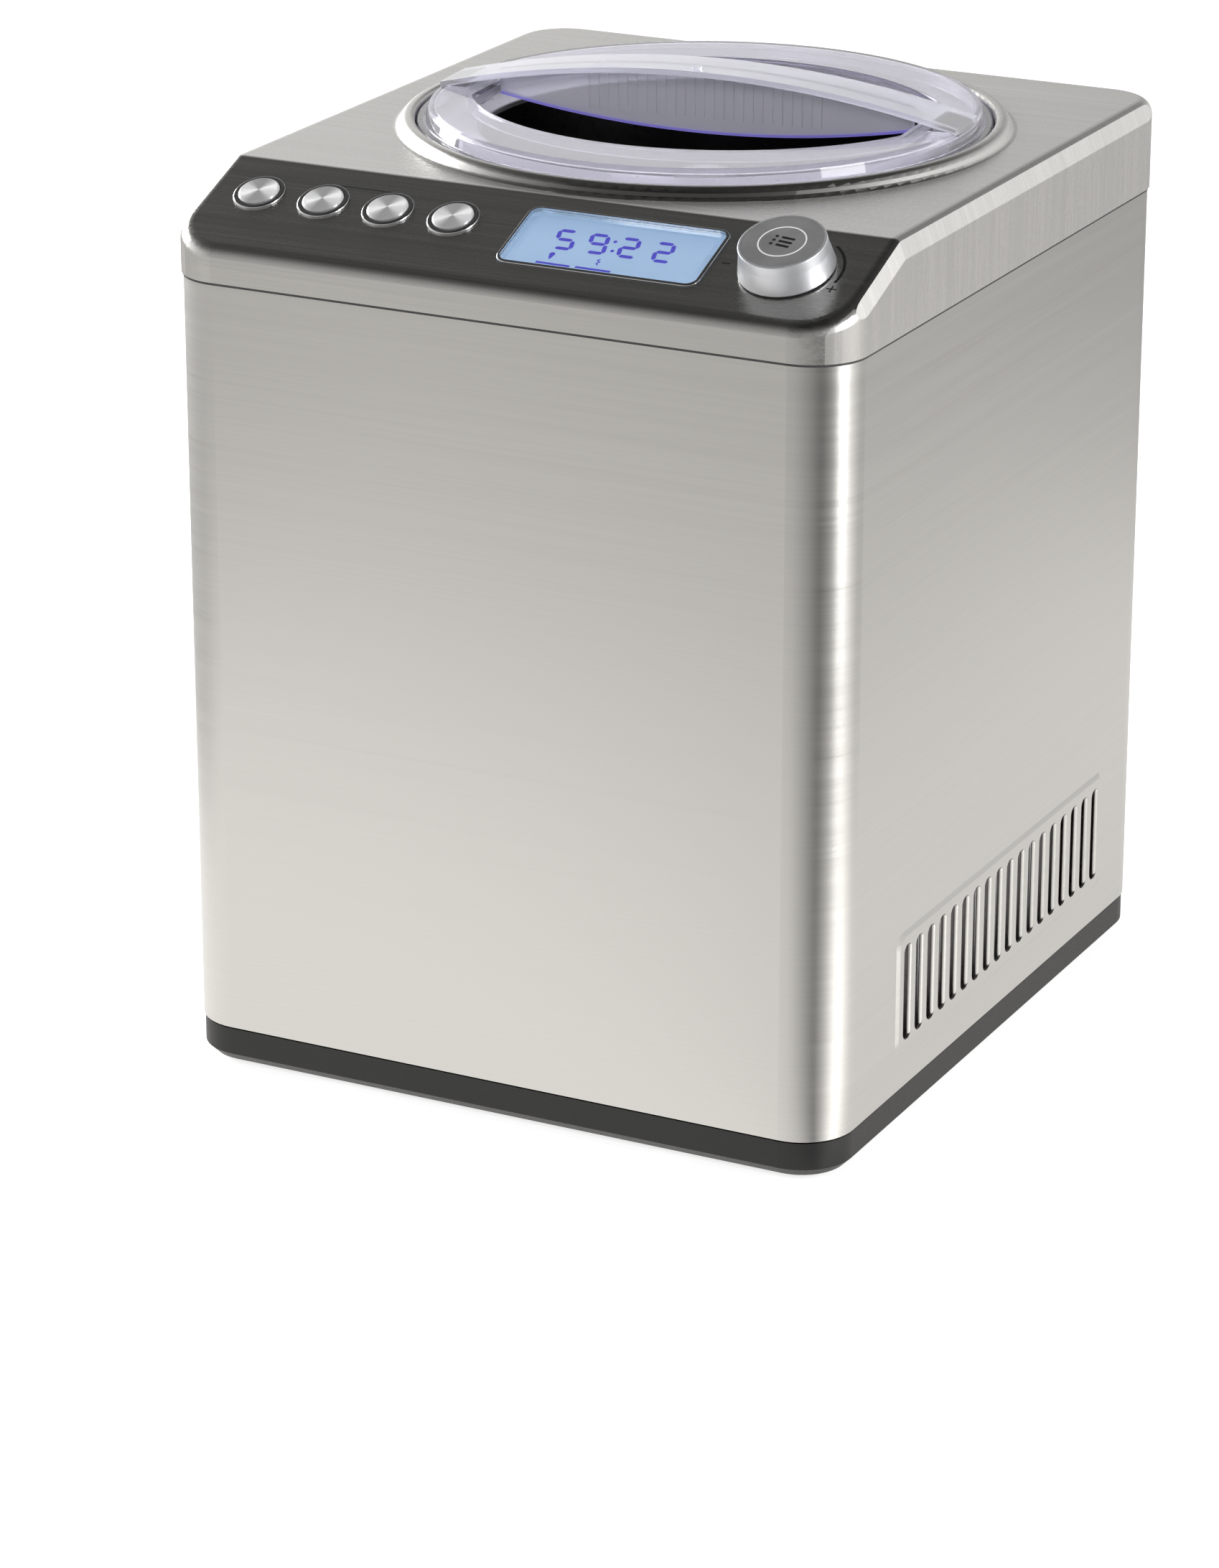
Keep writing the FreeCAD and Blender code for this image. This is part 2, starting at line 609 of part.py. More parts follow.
def cover_block(inset, bottom):
    """The cover's outside, or with an inset the hollow under its sheet."""
    half_width = BODY_WIDTH / 2 - inset
    half_depth = BODY_DEPTH / 2 - inset
    top = TOP_Z - inset
    slope = math.radians(PANEL_SLOPE)
    drop = inset / math.cos(slope)

    def panel_z(y):
        return TOP_Z - drop + math.tan(slope) * (y - PANEL_TOP_Y)

    edge_y = PANEL_TOP_Y + (drop - inset) / math.tan(slope)
    profile = [(-half_depth, bottom, 0), (-half_depth, panel_z(-half_depth), 0),
               (edge_y, top, PANEL_TOP_BLEND - inset), (half_depth, top, 0), (half_depth, bottom, 0)]
    solid = rounded_face(profile, across(-half_width)).extrude(Vector(2 * half_width, 0, 0))
    plan = block(2 * half_width, 2 * half_depth, CORNER_RADIUS - inset, bottom, TOP_Z)
    solid = solid.common(plan)
    upper = [e for e in solid.Edges if e.BoundBox.ZMin > bottom + inset and not is_panel_top(e)]
    solid = solid.makeFillet(COVER_EDGE_ROUND - inset, [e for e in upper if not is_upright(e)])
    bevel_length = math.hypot(SIDE_BEVEL_WIDTH, SIDE_BEVEL_HEIGHT)
    shift = Vector(-SIDE_BEVEL_HEIGHT, 0, -SIDE_BEVEL_WIDTH) * (inset / bevel_length)
    along = Vector(-SIDE_BEVEL_WIDTH, 0, SIDE_BEVEL_HEIGHT)
    foot = Vector(BODY_WIDTH / 2, 0, TOP_Z - SIDE_BEVEL_HEIGHT) + shift
    away = Vector(BODY_WIDTH / 2, 0, TOP_Z + BODY_WIDTH / 2)
    corners = [foot - along * 3, foot + along * 4, away]
    reach = BODY_DEPTH
    down_slope = Vector(0, -math.cos(slope), -math.sin(slope)) * reach
    for start_y, sweep in ((-reach, Vector(0, 2 * reach, 0)), (PANEL_TOP_Y, down_slope)):
        points = [c + Vector(0, start_y, 0) for c in corners]
        wedge = Part.Face(Part.makePolygon(points + points[:1])).extrude(sweep)
        solid = solid.cut(wedge)
        solid = solid.cut(wedge.mirror(Vector(0, 0, 0), Vector(1, 0, 0)))
    return solid


COLLAR_CREST = 4.6
COLLAR_FOOT = 2.4
COLLAR_FOOT_BEND = 2.5
COLLAR_CREST_BEND = 4.0
COLLAR_LIP_BEND = 1.8
BEND_OFFSET = 0.4 * SHEET


def collar_ring():
    inner = COLLAR_OPENING
    crest = inner + COLLAR_CREST
    foot = COLLAR_RADIUS - COLLAR_FOOT
    low = TOP_Z - SHEET
    top = TOP_Z + COLLAR_HEIGHT
    end = TOP_Z - COLLAR_FLANGE_DROP
    return turned([(COLLAR_RADIUS, low, 0), (COLLAR_RADIUS, TOP_Z, 0), (foot, TOP_Z, COLLAR_FOOT_BEND),
                   (crest, top, COLLAR_CREST_BEND), (inner, top, COLLAR_LIP_BEND), (inner, end, 0),
                   (inner + SHEET, end, 0),
                   (inner + SHEET, top - SHEET, COLLAR_LIP_BEND - SHEET),
                   (crest - BEND_OFFSET, top - SHEET, COLLAR_CREST_BEND - SHEET),
                   (foot - BEND_OFFSET, low, COLLAR_FOOT_BEND + SHEET)])


def button_places():
    return [(BUTTON_FIRST_X + BUTTON_PITCH * i, -BUTTON_DOWN) for i in range(BUTTON_COUNT)]


BUTTON_NAMES = ("power_button", "hardness_button", "speed_button", "start_button")
RING_NECK_RADIUS = BUTTON_RING_RADIUS - 0.9
RING_BORE = BUTTON_RADIUS + FIT_GAP
RING_DEPTH = 6.0
CAP_FLANGE = 0.9
SWITCH_SIZE = 12.0
SWITCH_HEIGHT = 4.3
BEZEL_WALL = 1.2
BEZEL_PROUD = 0.7
WINDOW_TOP = -0.3
WINDOW_THICKNESS = 2.3
ENCODER_SIZE = 14.0
ENCODER_HEIGHT = 7.0
ENCODER_BUSH_RADIUS = 4.5
ENCODER_SHAFT_RADIUS = 3.0
KNOB_LIFT = 0.7
KNOB_WALL = 1.8
KNOB_CAP_THICKNESS = 1.2
KNOB_DISC_RADIUS = 8.5
RING_EDGE = 0.7
CAP_EDGE = 0.8
CAP_FLANGE_HEIGHT = 1.5
BEZEL_EDGE = 0.5
MODULE_MARGIN = 1.5
WINDOW_FIT = 0.1
PANEL_FIT = 0.2
KNOB_RIM = 1.0
KNOB_EDGE = 0.5
KNOB_FLARE = 0.4
KNOB_FLARE_DROP = 3.0
KNOB_FLARE_BEND = 6.0
KNOB_SKIRT_EDGE = 0.4
KNOB_HUB_WALL = 2.5
KNOB_HUB_LIFT = 1.0
KNOB_INNER_STEP = 0.6
INLAY_GROOVE = 0.25
INLAY_FIT = 0.05
INLAY_SUNK = 0.15
DISC_EDGE = 0.3


def display_outline(inset):
    return rectangle(DISPLAY_WIDTH - 2 * inset, DISPLAY_HEIGHT - 2 * inset, DISPLAY_RADIUS - inset,
                     DISPLAY_X, -DISPLAY_DOWN)


def make_cover():
    cover = cover_block(0.0, SEAM_Z).cut(cover_block(SHEET, SEAM_Z))
    cover = cover.cut(rod(COLLAR_RADIUS, TOP_Z - 2 * SHEET, TOP_Z + SHEET, 0.0, LID_BACK))
    cover = cover.fuse(collar_ring()).removeSplitter()
    holes = [rod(RING_NECK_RADIUS + PANEL_FIT, -2 * SHEET, SHEET, x, y) for x, y in button_places()]
    holes.append(rod(ENCODER_BUSH_RADIUS + FIT_GAP, -2 * SHEET, SHEET, KNOB_X, -KNOB_DOWN))
    opening = rounded_face(display_outline(-PANEL_FIT), at_height(-2 * SHEET))
    opening = opening.extrude(Vector(0, 0, 3 * SHEET))
    holes.append(opening)
    save("top_cover", cover.cut(Part.makeCompound([on_panel(h) for h in holes])))


def make_top_frame():
    plate_width = SHELL_WIDTH - 2 * SHEET - 2 * FIT_GAP
    plate_depth = SHELL_DEPTH - 2 * SHEET - 2 * FIT_GAP
    plate_radius = SHELL_RADIUS - SHEET - FIT_GAP
    plate_z = SHELL_TOP_Z - FRAME_PLATE
    plate = block(plate_width, plate_depth, plate_radius, plate_z, SHELL_TOP_Z)
    rim_inset = SHEET + FIT_GAP
    rim = frame(BODY_WIDTH - 2 * rim_inset, BODY_DEPTH - 2 * rim_inset, CORNER_RADIUS - rim_inset,
                PLASTIC_WALL, SHELL_TOP_Z, SEAM_Z + FRAME_RIM_HEIGHT)
    lip = frame(BODY_WIDTH - 2 * FRAME_LIP_OUT, BODY_DEPTH - 2 * FRAME_LIP_OUT, CORNER_RADIUS - FRAME_LIP_OUT,
                PLASTIC_WALL + rim_inset - FRAME_LIP_OUT, SHELL_TOP_Z, SEAM_Z)
    solid = plate.fuse([rim, lip])
    for x, y in board_post_places():
        post = on_panel(rod(BOARD_POST_RADIUS, -BOARD_DEPTH - BOARD_THICKNESS - COVER_RISE,
                            -BOARD_DEPTH - BOARD_THICKNESS, x, y))
        above = box(-BODY_WIDTH, BODY_WIDTH, -BODY_DEPTH, BODY_DEPTH, plate_z, TOP_Z)
        solid = solid.fuse(post.common(above))
    solid = solid.cut(rod(FRAME_HOLE_RADIUS, plate_z, TOP_Z, 0.0, LID_BACK))
    for angle in HOUSING_SCREW_ANGLES:
        x, y = polar(HOUSING_SCREW_CIRCLE, angle)
        solid = solid.cut(rod(SCREW_HOLE_RADIUS, plate_z, SHELL_TOP_Z, x, y))
    save("top_frame", solid.removeSplitter())


def make_controls():
    board = Part.makeBox(BOARD_WIDTH, BOARD_UP - BOARD_DOWN, BOARD_THICKNESS,
                         Vector(-BOARD_WIDTH / 2, BOARD_DOWN, -BOARD_DEPTH - BOARD_THICKNESS))
    save("control_board", on_panel(board))

    rings = []
    switches = []
    for name, (x, y) in zip(BUTTON_NAMES, button_places()):
        ring = rod(BUTTON_RING_RADIUS, 0.0, BUTTON_RING_PROUD, x, y)
        crown = [e for e in ring.Edges if e.BoundBox.ZMin > BUTTON_RING_PROUD - EDGE_PICK]
        ring = ring.makeFillet(RING_EDGE, crown)
        ring = ring.fuse(rod(RING_NECK_RADIUS, -RING_DEPTH, 0.0, x, y))
        ring = ring.cut(rod(RING_BORE, -RING_DEPTH, BUTTON_RING_PROUD, x, y))
        rings.append(on_panel(ring.removeSplitter()))
        cap = rod(BUTTON_RADIUS, -RING_DEPTH - FIT_GAP, BUTTON_PROUD, x, y)
        crown = [e for e in cap.Edges if e.BoundBox.ZMin > BUTTON_PROUD - EDGE_PICK]
        cap = cap.makeFillet(CAP_EDGE, crown)
        flange_z = -RING_DEPTH - FIT_GAP
        cap = cap.fuse(rod(BUTTON_RADIUS + CAP_FLANGE, flange_z - CAP_FLANGE_HEIGHT, flange_z, x, y))
        save(name, on_panel(cap.removeSplitter()))
        half = SWITCH_SIZE / 2
        switches.append(on_panel(box(x - half, x + half, y - half, y + half,
                                     -BOARD_DEPTH, -BOARD_DEPTH + SWITCH_HEIGHT)))
    save("button_rings", *rings)
    save("button_switches", *switches)

    bezel_z = WINDOW_TOP - WINDOW_THICKNESS
    bezel_up = Vector(0, 0, BEZEL_PROUD - bezel_z)
    bezel = rounded_face(display_outline(0.0), at_height(bezel_z)).extrude(bezel_up)
    crown = [e for e in bezel.Edges if e.BoundBox.ZMin > BEZEL_PROUD - EDGE_PICK]
    bezel = bezel.makeFillet(BEZEL_EDGE, crown)
    hole = rounded_face(display_outline(BEZEL_WALL), at_height(bezel_z)).extrude(2 * bezel_up)
    save("display_bezel", on_panel(bezel.cut(hole)))
    window = rounded_face(display_outline(BEZEL_WALL + WINDOW_FIT), at_height(bezel_z))
    save("display_window", on_panel(window.extrude(Vector(0, 0, WINDOW_THICKNESS))))
    module = rounded_face(display_outline(-MODULE_MARGIN), at_height(-BOARD_DEPTH))
    save("display_module", on_panel(module.extrude(Vector(0, 0, bezel_z + BOARD_DEPTH))))

    half = ENCODER_SIZE / 2
    body_top = -BOARD_DEPTH + ENCODER_HEIGHT
    encoder = box(KNOB_X - half, KNOB_X + half, -KNOB_DOWN - half, -KNOB_DOWN + half, -BOARD_DEPTH, body_top)
    encoder = encoder.fuse(rod(ENCODER_BUSH_RADIUS, body_top, 0.0, KNOB_X, -KNOB_DOWN))
    bore = rod(ENCODER_SHAFT_RADIUS + RUNNING_FIT, body_top, 0.0, KNOB_X, -KNOB_DOWN)
    save("rotary_encoder", on_panel(encoder.cut(bore).removeSplitter()))
    shaft_foot = body_top + KNOB_PUSH + FIT_GAP
    shaft_top = KNOB_LIFT + KNOB_HEIGHT - KNOB_CAP_THICKNESS - 2 * KNOB_WALL
    save("encoder_shaft", on_panel(rod(ENCODER_SHAFT_RADIUS, shaft_foot, shaft_top, KNOB_X, -KNOB_DOWN)))

    top = KNOB_LIFT + KNOB_HEIGHT
    seat = top - KNOB_CAP_THICKNESS
    rim = KNOB_TOP_RADIUS - KNOB_RIM
    under = seat - KNOB_WALL
    hub = ENCODER_SHAFT_RADIUS + RUNNING_FIT
    collar = hub + KNOB_HUB_WALL
    knob = turned([(hub, KNOB_LIFT + KNOB_HUB_LIFT, 0), (hub, shaft_top + FIT_GAP, 0),
                   (0, shaft_top + FIT_GAP, 0), (0, seat, 0), (rim, seat, 0), (rim, top, 0),
                   (KNOB_TOP_RADIUS, top, KNOB_EDGE),
                   (KNOB_TOP_RADIUS + KNOB_FLARE, seat - KNOB_FLARE_DROP, KNOB_FLARE_BEND),
                   (KNOB_BASE_RADIUS, KNOB_LIFT, KNOB_SKIRT_EDGE),
                   (KNOB_BASE_RADIUS - KNOB_WALL, KNOB_LIFT, 0),
                   (rim - KNOB_INNER_STEP, under, 1.0), (collar, under, 0),
                   (collar, KNOB_LIFT + KNOB_HUB_LIFT, 0)], 0.0)
    save("control_knob", on_panel(moved(knob, KNOB_X, -KNOB_DOWN, 0.0)))
    inlay = tube(KNOB_DISC_RADIUS + INLAY_GROOVE, rim - INLAY_FIT, seat, top - INLAY_SUNK, KNOB_X, -KNOB_DOWN)
    disc = rod(KNOB_DISC_RADIUS, seat, top - INLAY_FIT, KNOB_X, -KNOB_DOWN)
    crown = [e for e in disc.Edges if e.BoundBox.ZMin > top - INLAY_FIT - EDGE_PICK]
    disc = disc.makeFillet(DISC_EDGE, crown)
    save("knob_cap", on_panel(inlay), on_panel(disc))


# Lid, its seal and handle
SEAL_INNER = LID_RADIUS - 3.5
SEAL_OUTER = LID_RADIUS - 0.5
LID_UNDER = LID_FLANGE_TOP - LID_WALL
LID_LIP_BOTTOM = 3.0
PEG_RADIUS = 1.1
PEG_CIRCLE = LID_STEP_RADIUS - 1.1
PEG_ANGLES = (90.0 + LID_TURN, 270.0 + LID_TURN)
RIB_PITCH = 4.0
RIB_WIDTH = 1.2
RIB_HEIGHT = 0.5
RIB_COUNT = 25
GATE_RADIUS = 2.0
LID_OPEN_CORNER = 5.0
WEB_CORNER = 9.0
RIB_MARGIN = 6.0
HANDLE_SEAT = 12.0
HANDLE_FOOT_INSET = 4.0
GATE_HEIGHT = 1.2
LID_END_PICK = 0.1
PEG_CLEAR = 0.6
PEG_SLOT_SIDE = 0.4
HANDLE_SEAT_Z = TOP_Z + HANDLE_END - HANDLE_THICKNESS - 0.1


def lid_opening(grow, z0, z1):
    """Eye-shaped opening: two arcs closed by short straight ends."""
    radius = LID_OPEN_ARC + grow
    lens = rod(radius, z0, z1, 0.0, LID_BACK - LID_OPEN_SHIFT)
    lens = lens.common(rod(radius, z0, z1, 0.0, LID_BACK + LID_OPEN_SHIFT))
    half = LID_OPEN_HALF + grow
    lens = lens.common(box(-half, half, LID_BACK - radius, LID_BACK + radius, z0, z1))
    upright = [e for e in lens.Edges if e.BoundBox.ZLength > z1 - z0 - EDGE_PICK]
    ends = [e for e in upright if abs(e.CenterOfMass.x) > half - LID_END_PICK]
    return about_lid(lens.makeFillet(LID_OPEN_CORNER + grow, ends), LID_TURN)


def make_lid():
    step = LID_STEP_RADIUS
    inside = step - LID_WALL
    under = TOP_Z + LID_UNDER
    roof = TOP_Z + LID_TOP - LID_WALL
    top = TOP_Z + LID_TOP
    flange_top = TOP_Z + LID_FLANGE_TOP
    cap = turned([(inside, under, 0), (LID_RADIUS, under, 0.6), (LID_RADIUS, flange_top, 1.0),
                  (step + 1.4, flange_top, 0.8), (step - 0.6, top, 2.2), (0, top, 0), (0, roof, 0),
                  (inside, roof, 1.0)])
    lip = lid_opening(LID_WALL, TOP_Z + LID_LIP_BOTTOM, roof + 0.5)
    lid = cap.fuse(lip).cut(lid_opening(0.0, under, top + 1.0))
    for angle in PEG_ANGLES:
        x, y = polar(PEG_CIRCLE, angle)
        lid = lid.fuse(rod(PEG_RADIUS, BOWL_FLANGE_Z + PEG_CLEAR, under + 0.5, x, y))
    slot_half = HANDLE_WIDTH / 2 + FIT_GAP
    for side in (-1, 1):
        near, far = sorted((side * (step - HANDLE_SEAT), side * (LID_RADIUS + 1.0)))
        rebate = box(near, far, LID_BACK - slot_half, LID_BACK + slot_half, HANDLE_SEAT_Z, top + 1.0)
        lid = lid.cut(about_lid(rebate, LID_TURN))
    save("lid", lid.removeSplitter())

    seal = tube(SEAL_INNER, SEAL_OUTER, BOWL_FLANGE_Z + BOWL_FLANGE, under, 0.0, LID_BACK)
    save("lid_seal", seal)
    save("lid_handle", lid_handle())


def arch(rise_to, end_to, half, y0, y1, thickness):
    """Band bent to an arc in the XZ plane, its outside through the ends and the peak."""
    points = [Vector(-half, y0, end_to), Vector(0, y0, rise_to), Vector(half, y0, end_to)]
    lower = [p - Vector(0, 0, thickness) for p in points]
    edges = [Part.Arc(*points).toShape(), Part.LineSegment(points[2], lower[2]).toShape(),
             Part.Arc(lower[2], lower[1], lower[0]).toShape(),
             Part.LineSegment(lower[0], points[0]).toShape()]
    return Part.Face(Part.Wire(edges)).extrude(Vector(0, y1 - y0, 0))


def lid_handle():
    half_width = HANDLE_WIDTH / 2
    peak = TOP_Z + HANDLE_PEAK
    end = TOP_Z + HANDLE_END
    strap = arch(peak, end, LID_STEP_RADIUS, LID_BACK - half_width, LID_BACK + half_width, HANDLE_THICKNESS)
    half_web = WEB_THICKNESS / 2
    low = TOP_Z + WEB_BOTTOM
    side = TOP_Z + WEB_END_BOTTOM
    under_strap = arch(peak - HANDLE_THICKNESS / 2, end - HANDLE_THICKNESS / 2, LID_STEP_RADIUS,
                       LID_BACK - half_width, LID_BACK + half_width, 2 * HANDLE_PEAK)
    drop = side - low
    sag_radius = (WEB_HALF_LENGTH ** 2 + drop ** 2) / (2 * drop)
    belly = deep_rod(sag_radius, LID_BACK - half_width, LID_BACK + half_width, 0.0, low + sag_radius)
    ends = rectangle(2 * WEB_HALF_LENGTH, 2 * (peak - low), WEB_CORNER, 0.0, peak)
    ends = rounded_face(ends, facing(LID_BACK - half_width)).extrude(Vector(0, HANDLE_WIDTH, 0))
    outline = under_strap.common(belly).common(ends)
    plate = outline.common(box(-WEB_HALF_LENGTH, WEB_HALF_LENGTH, LID_BACK - half_web, LID_BACK + half_web,
                               low, peak))
    ribs = []
    for i in range(RIB_COUNT):
        x = (i - (RIB_COUNT - 1) / 2) * RIB_PITCH
        ribs.append(box(x - RIB_WIDTH / 2, x + RIB_WIDTH / 2, LID_BACK - half_web - RIB_HEIGHT,
                        LID_BACK + half_web + RIB_HEIGHT, low + RIB_MARGIN, peak))
    feet = []
    for side_x in (-1, 1):
        near, far = sorted((side_x * (LID_STEP_RADIUS - HANDLE_SEAT + FIT_GAP), side_x * LID_STEP_RADIUS))
        foot = box(near, far, LID_BACK - half_width + HANDLE_FOOT_INSET,
                   LID_BACK + half_width - HANDLE_FOOT_INSET, HANDLE_SEAT_Z, peak)
        feet.append(foot.common(under_strap))
    gate = rod(GATE_RADIUS, peak - HANDLE_THICKNESS / 2, peak + GATE_HEIGHT, 0.0,
               LID_BACK - half_width + HANDLE_FOOT_INSET)
    handle = strap.fuse([plate, gate] + feet).fuse(outline.common(Part.makeCompound(ribs)))
    handle = handle.common(rod(LID_STEP_RADIUS - 0.2, low - 1.0, TOP_Z + 2 * HANDLE_PEAK, 0.0, LID_BACK))
    return about_lid(handle.removeSplitter(), LID_TURN)


# Bowl, paddle, drum and insulation
BOWL_FLOOR_Z = TOP_Z - BOWL_DEPTH - 2.0
CHIMNEY_TOP_Z = TOP_Z - CHIMNEY_DROP
LOCATING_PIN_RADIUS = 1.5
LOCATING_CIRCLE = BOWL_RADIUS + 12.0
LOCATING_ANGLES = (0.0, 180.0)
BOWL_CORNER = 12.0
BOWL_MOUTH = 1.5
FLANGE_EDGE = 0.5
CHIMNEY_CORNER = 6.0
CHIMNEY_MOUTH = 1.0
HUB_CLEARANCE = 0.6
HUB_WALL = 3.2
HUB_TOP_Z = CHIMNEY_TOP_Z + 20.0
SHAFT_TOP_Z = HUB_TOP_Z - 5.0
SHAFT_HEX_Z = CHIMNEY_TOP_Z + 3.0
BLADE_GAP = 2.0
BLADE_THICKNESS = 3.0
BLADE_TILT = 12.0
BLADE_RAIL = 12.0
BLADE_CORNER = 12.0
BLADE_TOP_DROP = 24.0
BLADE_ANGLES = (20.0, 200.0)
BLADE_ROOT = 1.0
BRACE_WIDTH = 10.0
BRACE_DROP = 16.0
BRACE_ROOT_DROP = 4.0
HUB_SHOULDER = 4.0
HUB_LIFT = 6.0
HUB_FLARE = 2.0
HUB_TAPER = 0.72
STUB_ANGLES = (60.0, 120.0)
BUSH_RADIUS = 8.0
BUSH_BELOW = 4.0
BUSH_ABOVE = 20.0
SEAL_HEIGHT = 4.0
COIL_DROP = 14.0
DRUM_CORNER = 4.5
FOAM_BORE = BUSH_RADIUS + 8.0
FOAM_TOP_DROP = 4.0
HOUSING_BORE = BUSH_RADIUS + 2.0
STUB_FIT = 0.5
PIN_DROP = 0.4
SEAL_FIT = 0.2
HOUSING_SCREW_LENGTH = 9.0
HOUSING_SCREW_CIRCLE = HOUSING_RADIUS + 5.0


def hexagon(across_flats, z0, z1, y):
    radius = across_flats / math.sqrt(3.0)
    points = [Vector(radius * math.cos(math.radians(60 * i)), y + radius * math.sin(math.radians(60 * i)), z0)
              for i in range(7)]
    return Part.Face(Part.makePolygon(points)).extrude(Vector(0, 0, z1 - z0))


def make_bowl():
    outer = BOWL_RADIUS + BOWL_WALL
    flange_top = BOWL_FLANGE_Z + BOWL_FLANGE
    floor = BOWL_FLOOR_Z
    chimney = CHIMNEY_RADIUS + BOWL_WALL
    bowl = turned([(CHIMNEY_RADIUS, floor - BOWL_WALL, CHIMNEY_MOUTH),
                   (outer, floor - BOWL_WALL, BOWL_CORNER + BOWL_WALL),
                   (outer, BOWL_FLANGE_Z, 0), (BOWL_FLANGE_RADIUS, BOWL_FLANGE_Z, FLANGE_EDGE),
                   (BOWL_FLANGE_RADIUS, flange_top, FLANGE_EDGE), (BOWL_RADIUS, flange_top, BOWL_MOUTH),
                   (BOWL_RADIUS, floor, BOWL_CORNER), (chimney, floor, CHIMNEY_CORNER),
                   (chimney, CHIMNEY_TOP_Z, FLANGE_EDGE), (CHIMNEY_RADIUS, CHIMNEY_TOP_Z, FLANGE_EDGE)])
    slot_half = PEG_RADIUS + PEG_SLOT_SIDE
    slot_end = math.degrees((PEG_RADIUS + PEG_CLEAR) / PEG_CIRCLE)
    for angle in PEG_ANGLES:
        sweep = LID_TWIST + 2 * slot_end
        start = angle - slot_end
        near = PEG_CIRCLE - slot_half
        far = PEG_CIRCLE + slot_half
        outline = rounded_face([(near, BOWL_FLANGE_Z, 0), (far, BOWL_FLANGE_Z, 0), (far, flange_top, 0),
                                (near, flange_top, 0)], facing(0.0))
        slot = outline.revolve(Vector(0, 0, 0), Vector(0, 0, 1), sweep)
        slot.rotate(Vector(0, 0, 0), Vector(0, 0, 1), start)
        slot.translate(Vector(0, LID_BACK, 0))
        bowl = bowl.cut(slot)
    for angle in LOCATING_ANGLES:
        x, y = polar(LOCATING_CIRCLE, angle)
        bowl = bowl.cut(rod(LOCATING_PIN_RADIUS + FIT_GAP, BOWL_FLANGE_Z, flange_top, x, y))
    save("ice_bowl", bowl)


def make_paddle():
    bore = CHIMNEY_RADIUS + BOWL_WALL + HUB_CLEARANCE
    hub = bore + HUB_WALL
    low = BOWL_FLOOR_Z + BLADE_GAP
    foot = low + HUB_LIFT
    shoulder = CHIMNEY_TOP_Z + HUB_SHOULDER
    body = turned([(bore, foot, 0), (hub + HUB_FLARE, foot, 1.0), (hub, shoulder, 2.0),
                   (hub * HUB_TAPER, HUB_TOP_Z, 3.0), (0, HUB_TOP_Z, 0), (0, shoulder, 0),
                   (bore, shoulder, 0)])
    reach = BOWL_RADIUS - BLADE_GAP
    top = TOP_Z - BLADE_TOP_DROP
    root = bore + BLADE_ROOT
    rail = reach - BLADE_RAIL
    corner = reach - BLADE_CORNER
    frame_outline = [(bore + 6.0, low, 0), (corner, low, 0), (reach, low + BLADE_CORNER, 0),
                     (reach, top, 6.0), (rail, top, 4.0), (rail, low + 2 * BLADE_RAIL, 10.0),
                     (root, low + BLADE_RAIL, 0),
                     (root, low + 8.0, 0)]
    blade_through = Vector(0, BLADE_THICKNESS, 0)
    blade = rounded_face(frame_outline, facing(-BLADE_THICKNESS / 2)).extrude(blade_through)
    brace_root = shoulder - BRACE_ROOT_DROP
    brace_end = top - BRACE_DROP
    brace_outline = [(root, brace_root - BRACE_WIDTH, 0), (rail + BLADE_ROOT, brace_end - BRACE_WIDTH, 0),
                     (rail + BLADE_ROOT, brace_end, 0), (root, brace_root, 0)]
    brace = rounded_face(brace_outline, facing(-BLADE_THICKNESS / 2)).extrude(blade_through)
    blade = blade.fuse(brace).removeSplitter()
    pivot = Vector(0, 0, low)
    blade.rotate(pivot, Vector(1, 0, 0), BLADE_TILT)
    swept = turned([(bore, low, 0), (corner, low, 0), (reach, low + BLADE_CORNER, 0), (reach, top + 4.0, 0),
                    (bore, top + 4.0, 0)], 0.0)
    blade = blade.common(swept)
    blades = []
    for angle in BLADE_ANGLES:
        copy = blade.copy()
        copy.rotate(Vector(0, 0, 0), Vector(0, 0, 1), angle)
        blades.append(moved(copy, 0.0, LID_BACK, 0.0))
    paddle = body.fuse(blades)
    paddle = paddle.cut(hexagon(SHAFT_HEX + 2 * FIT_GAP, shoulder - 1.0, SHAFT_TOP_Z + 0.2, LID_BACK))
    save("mixing_paddle", paddle.removeSplitter())


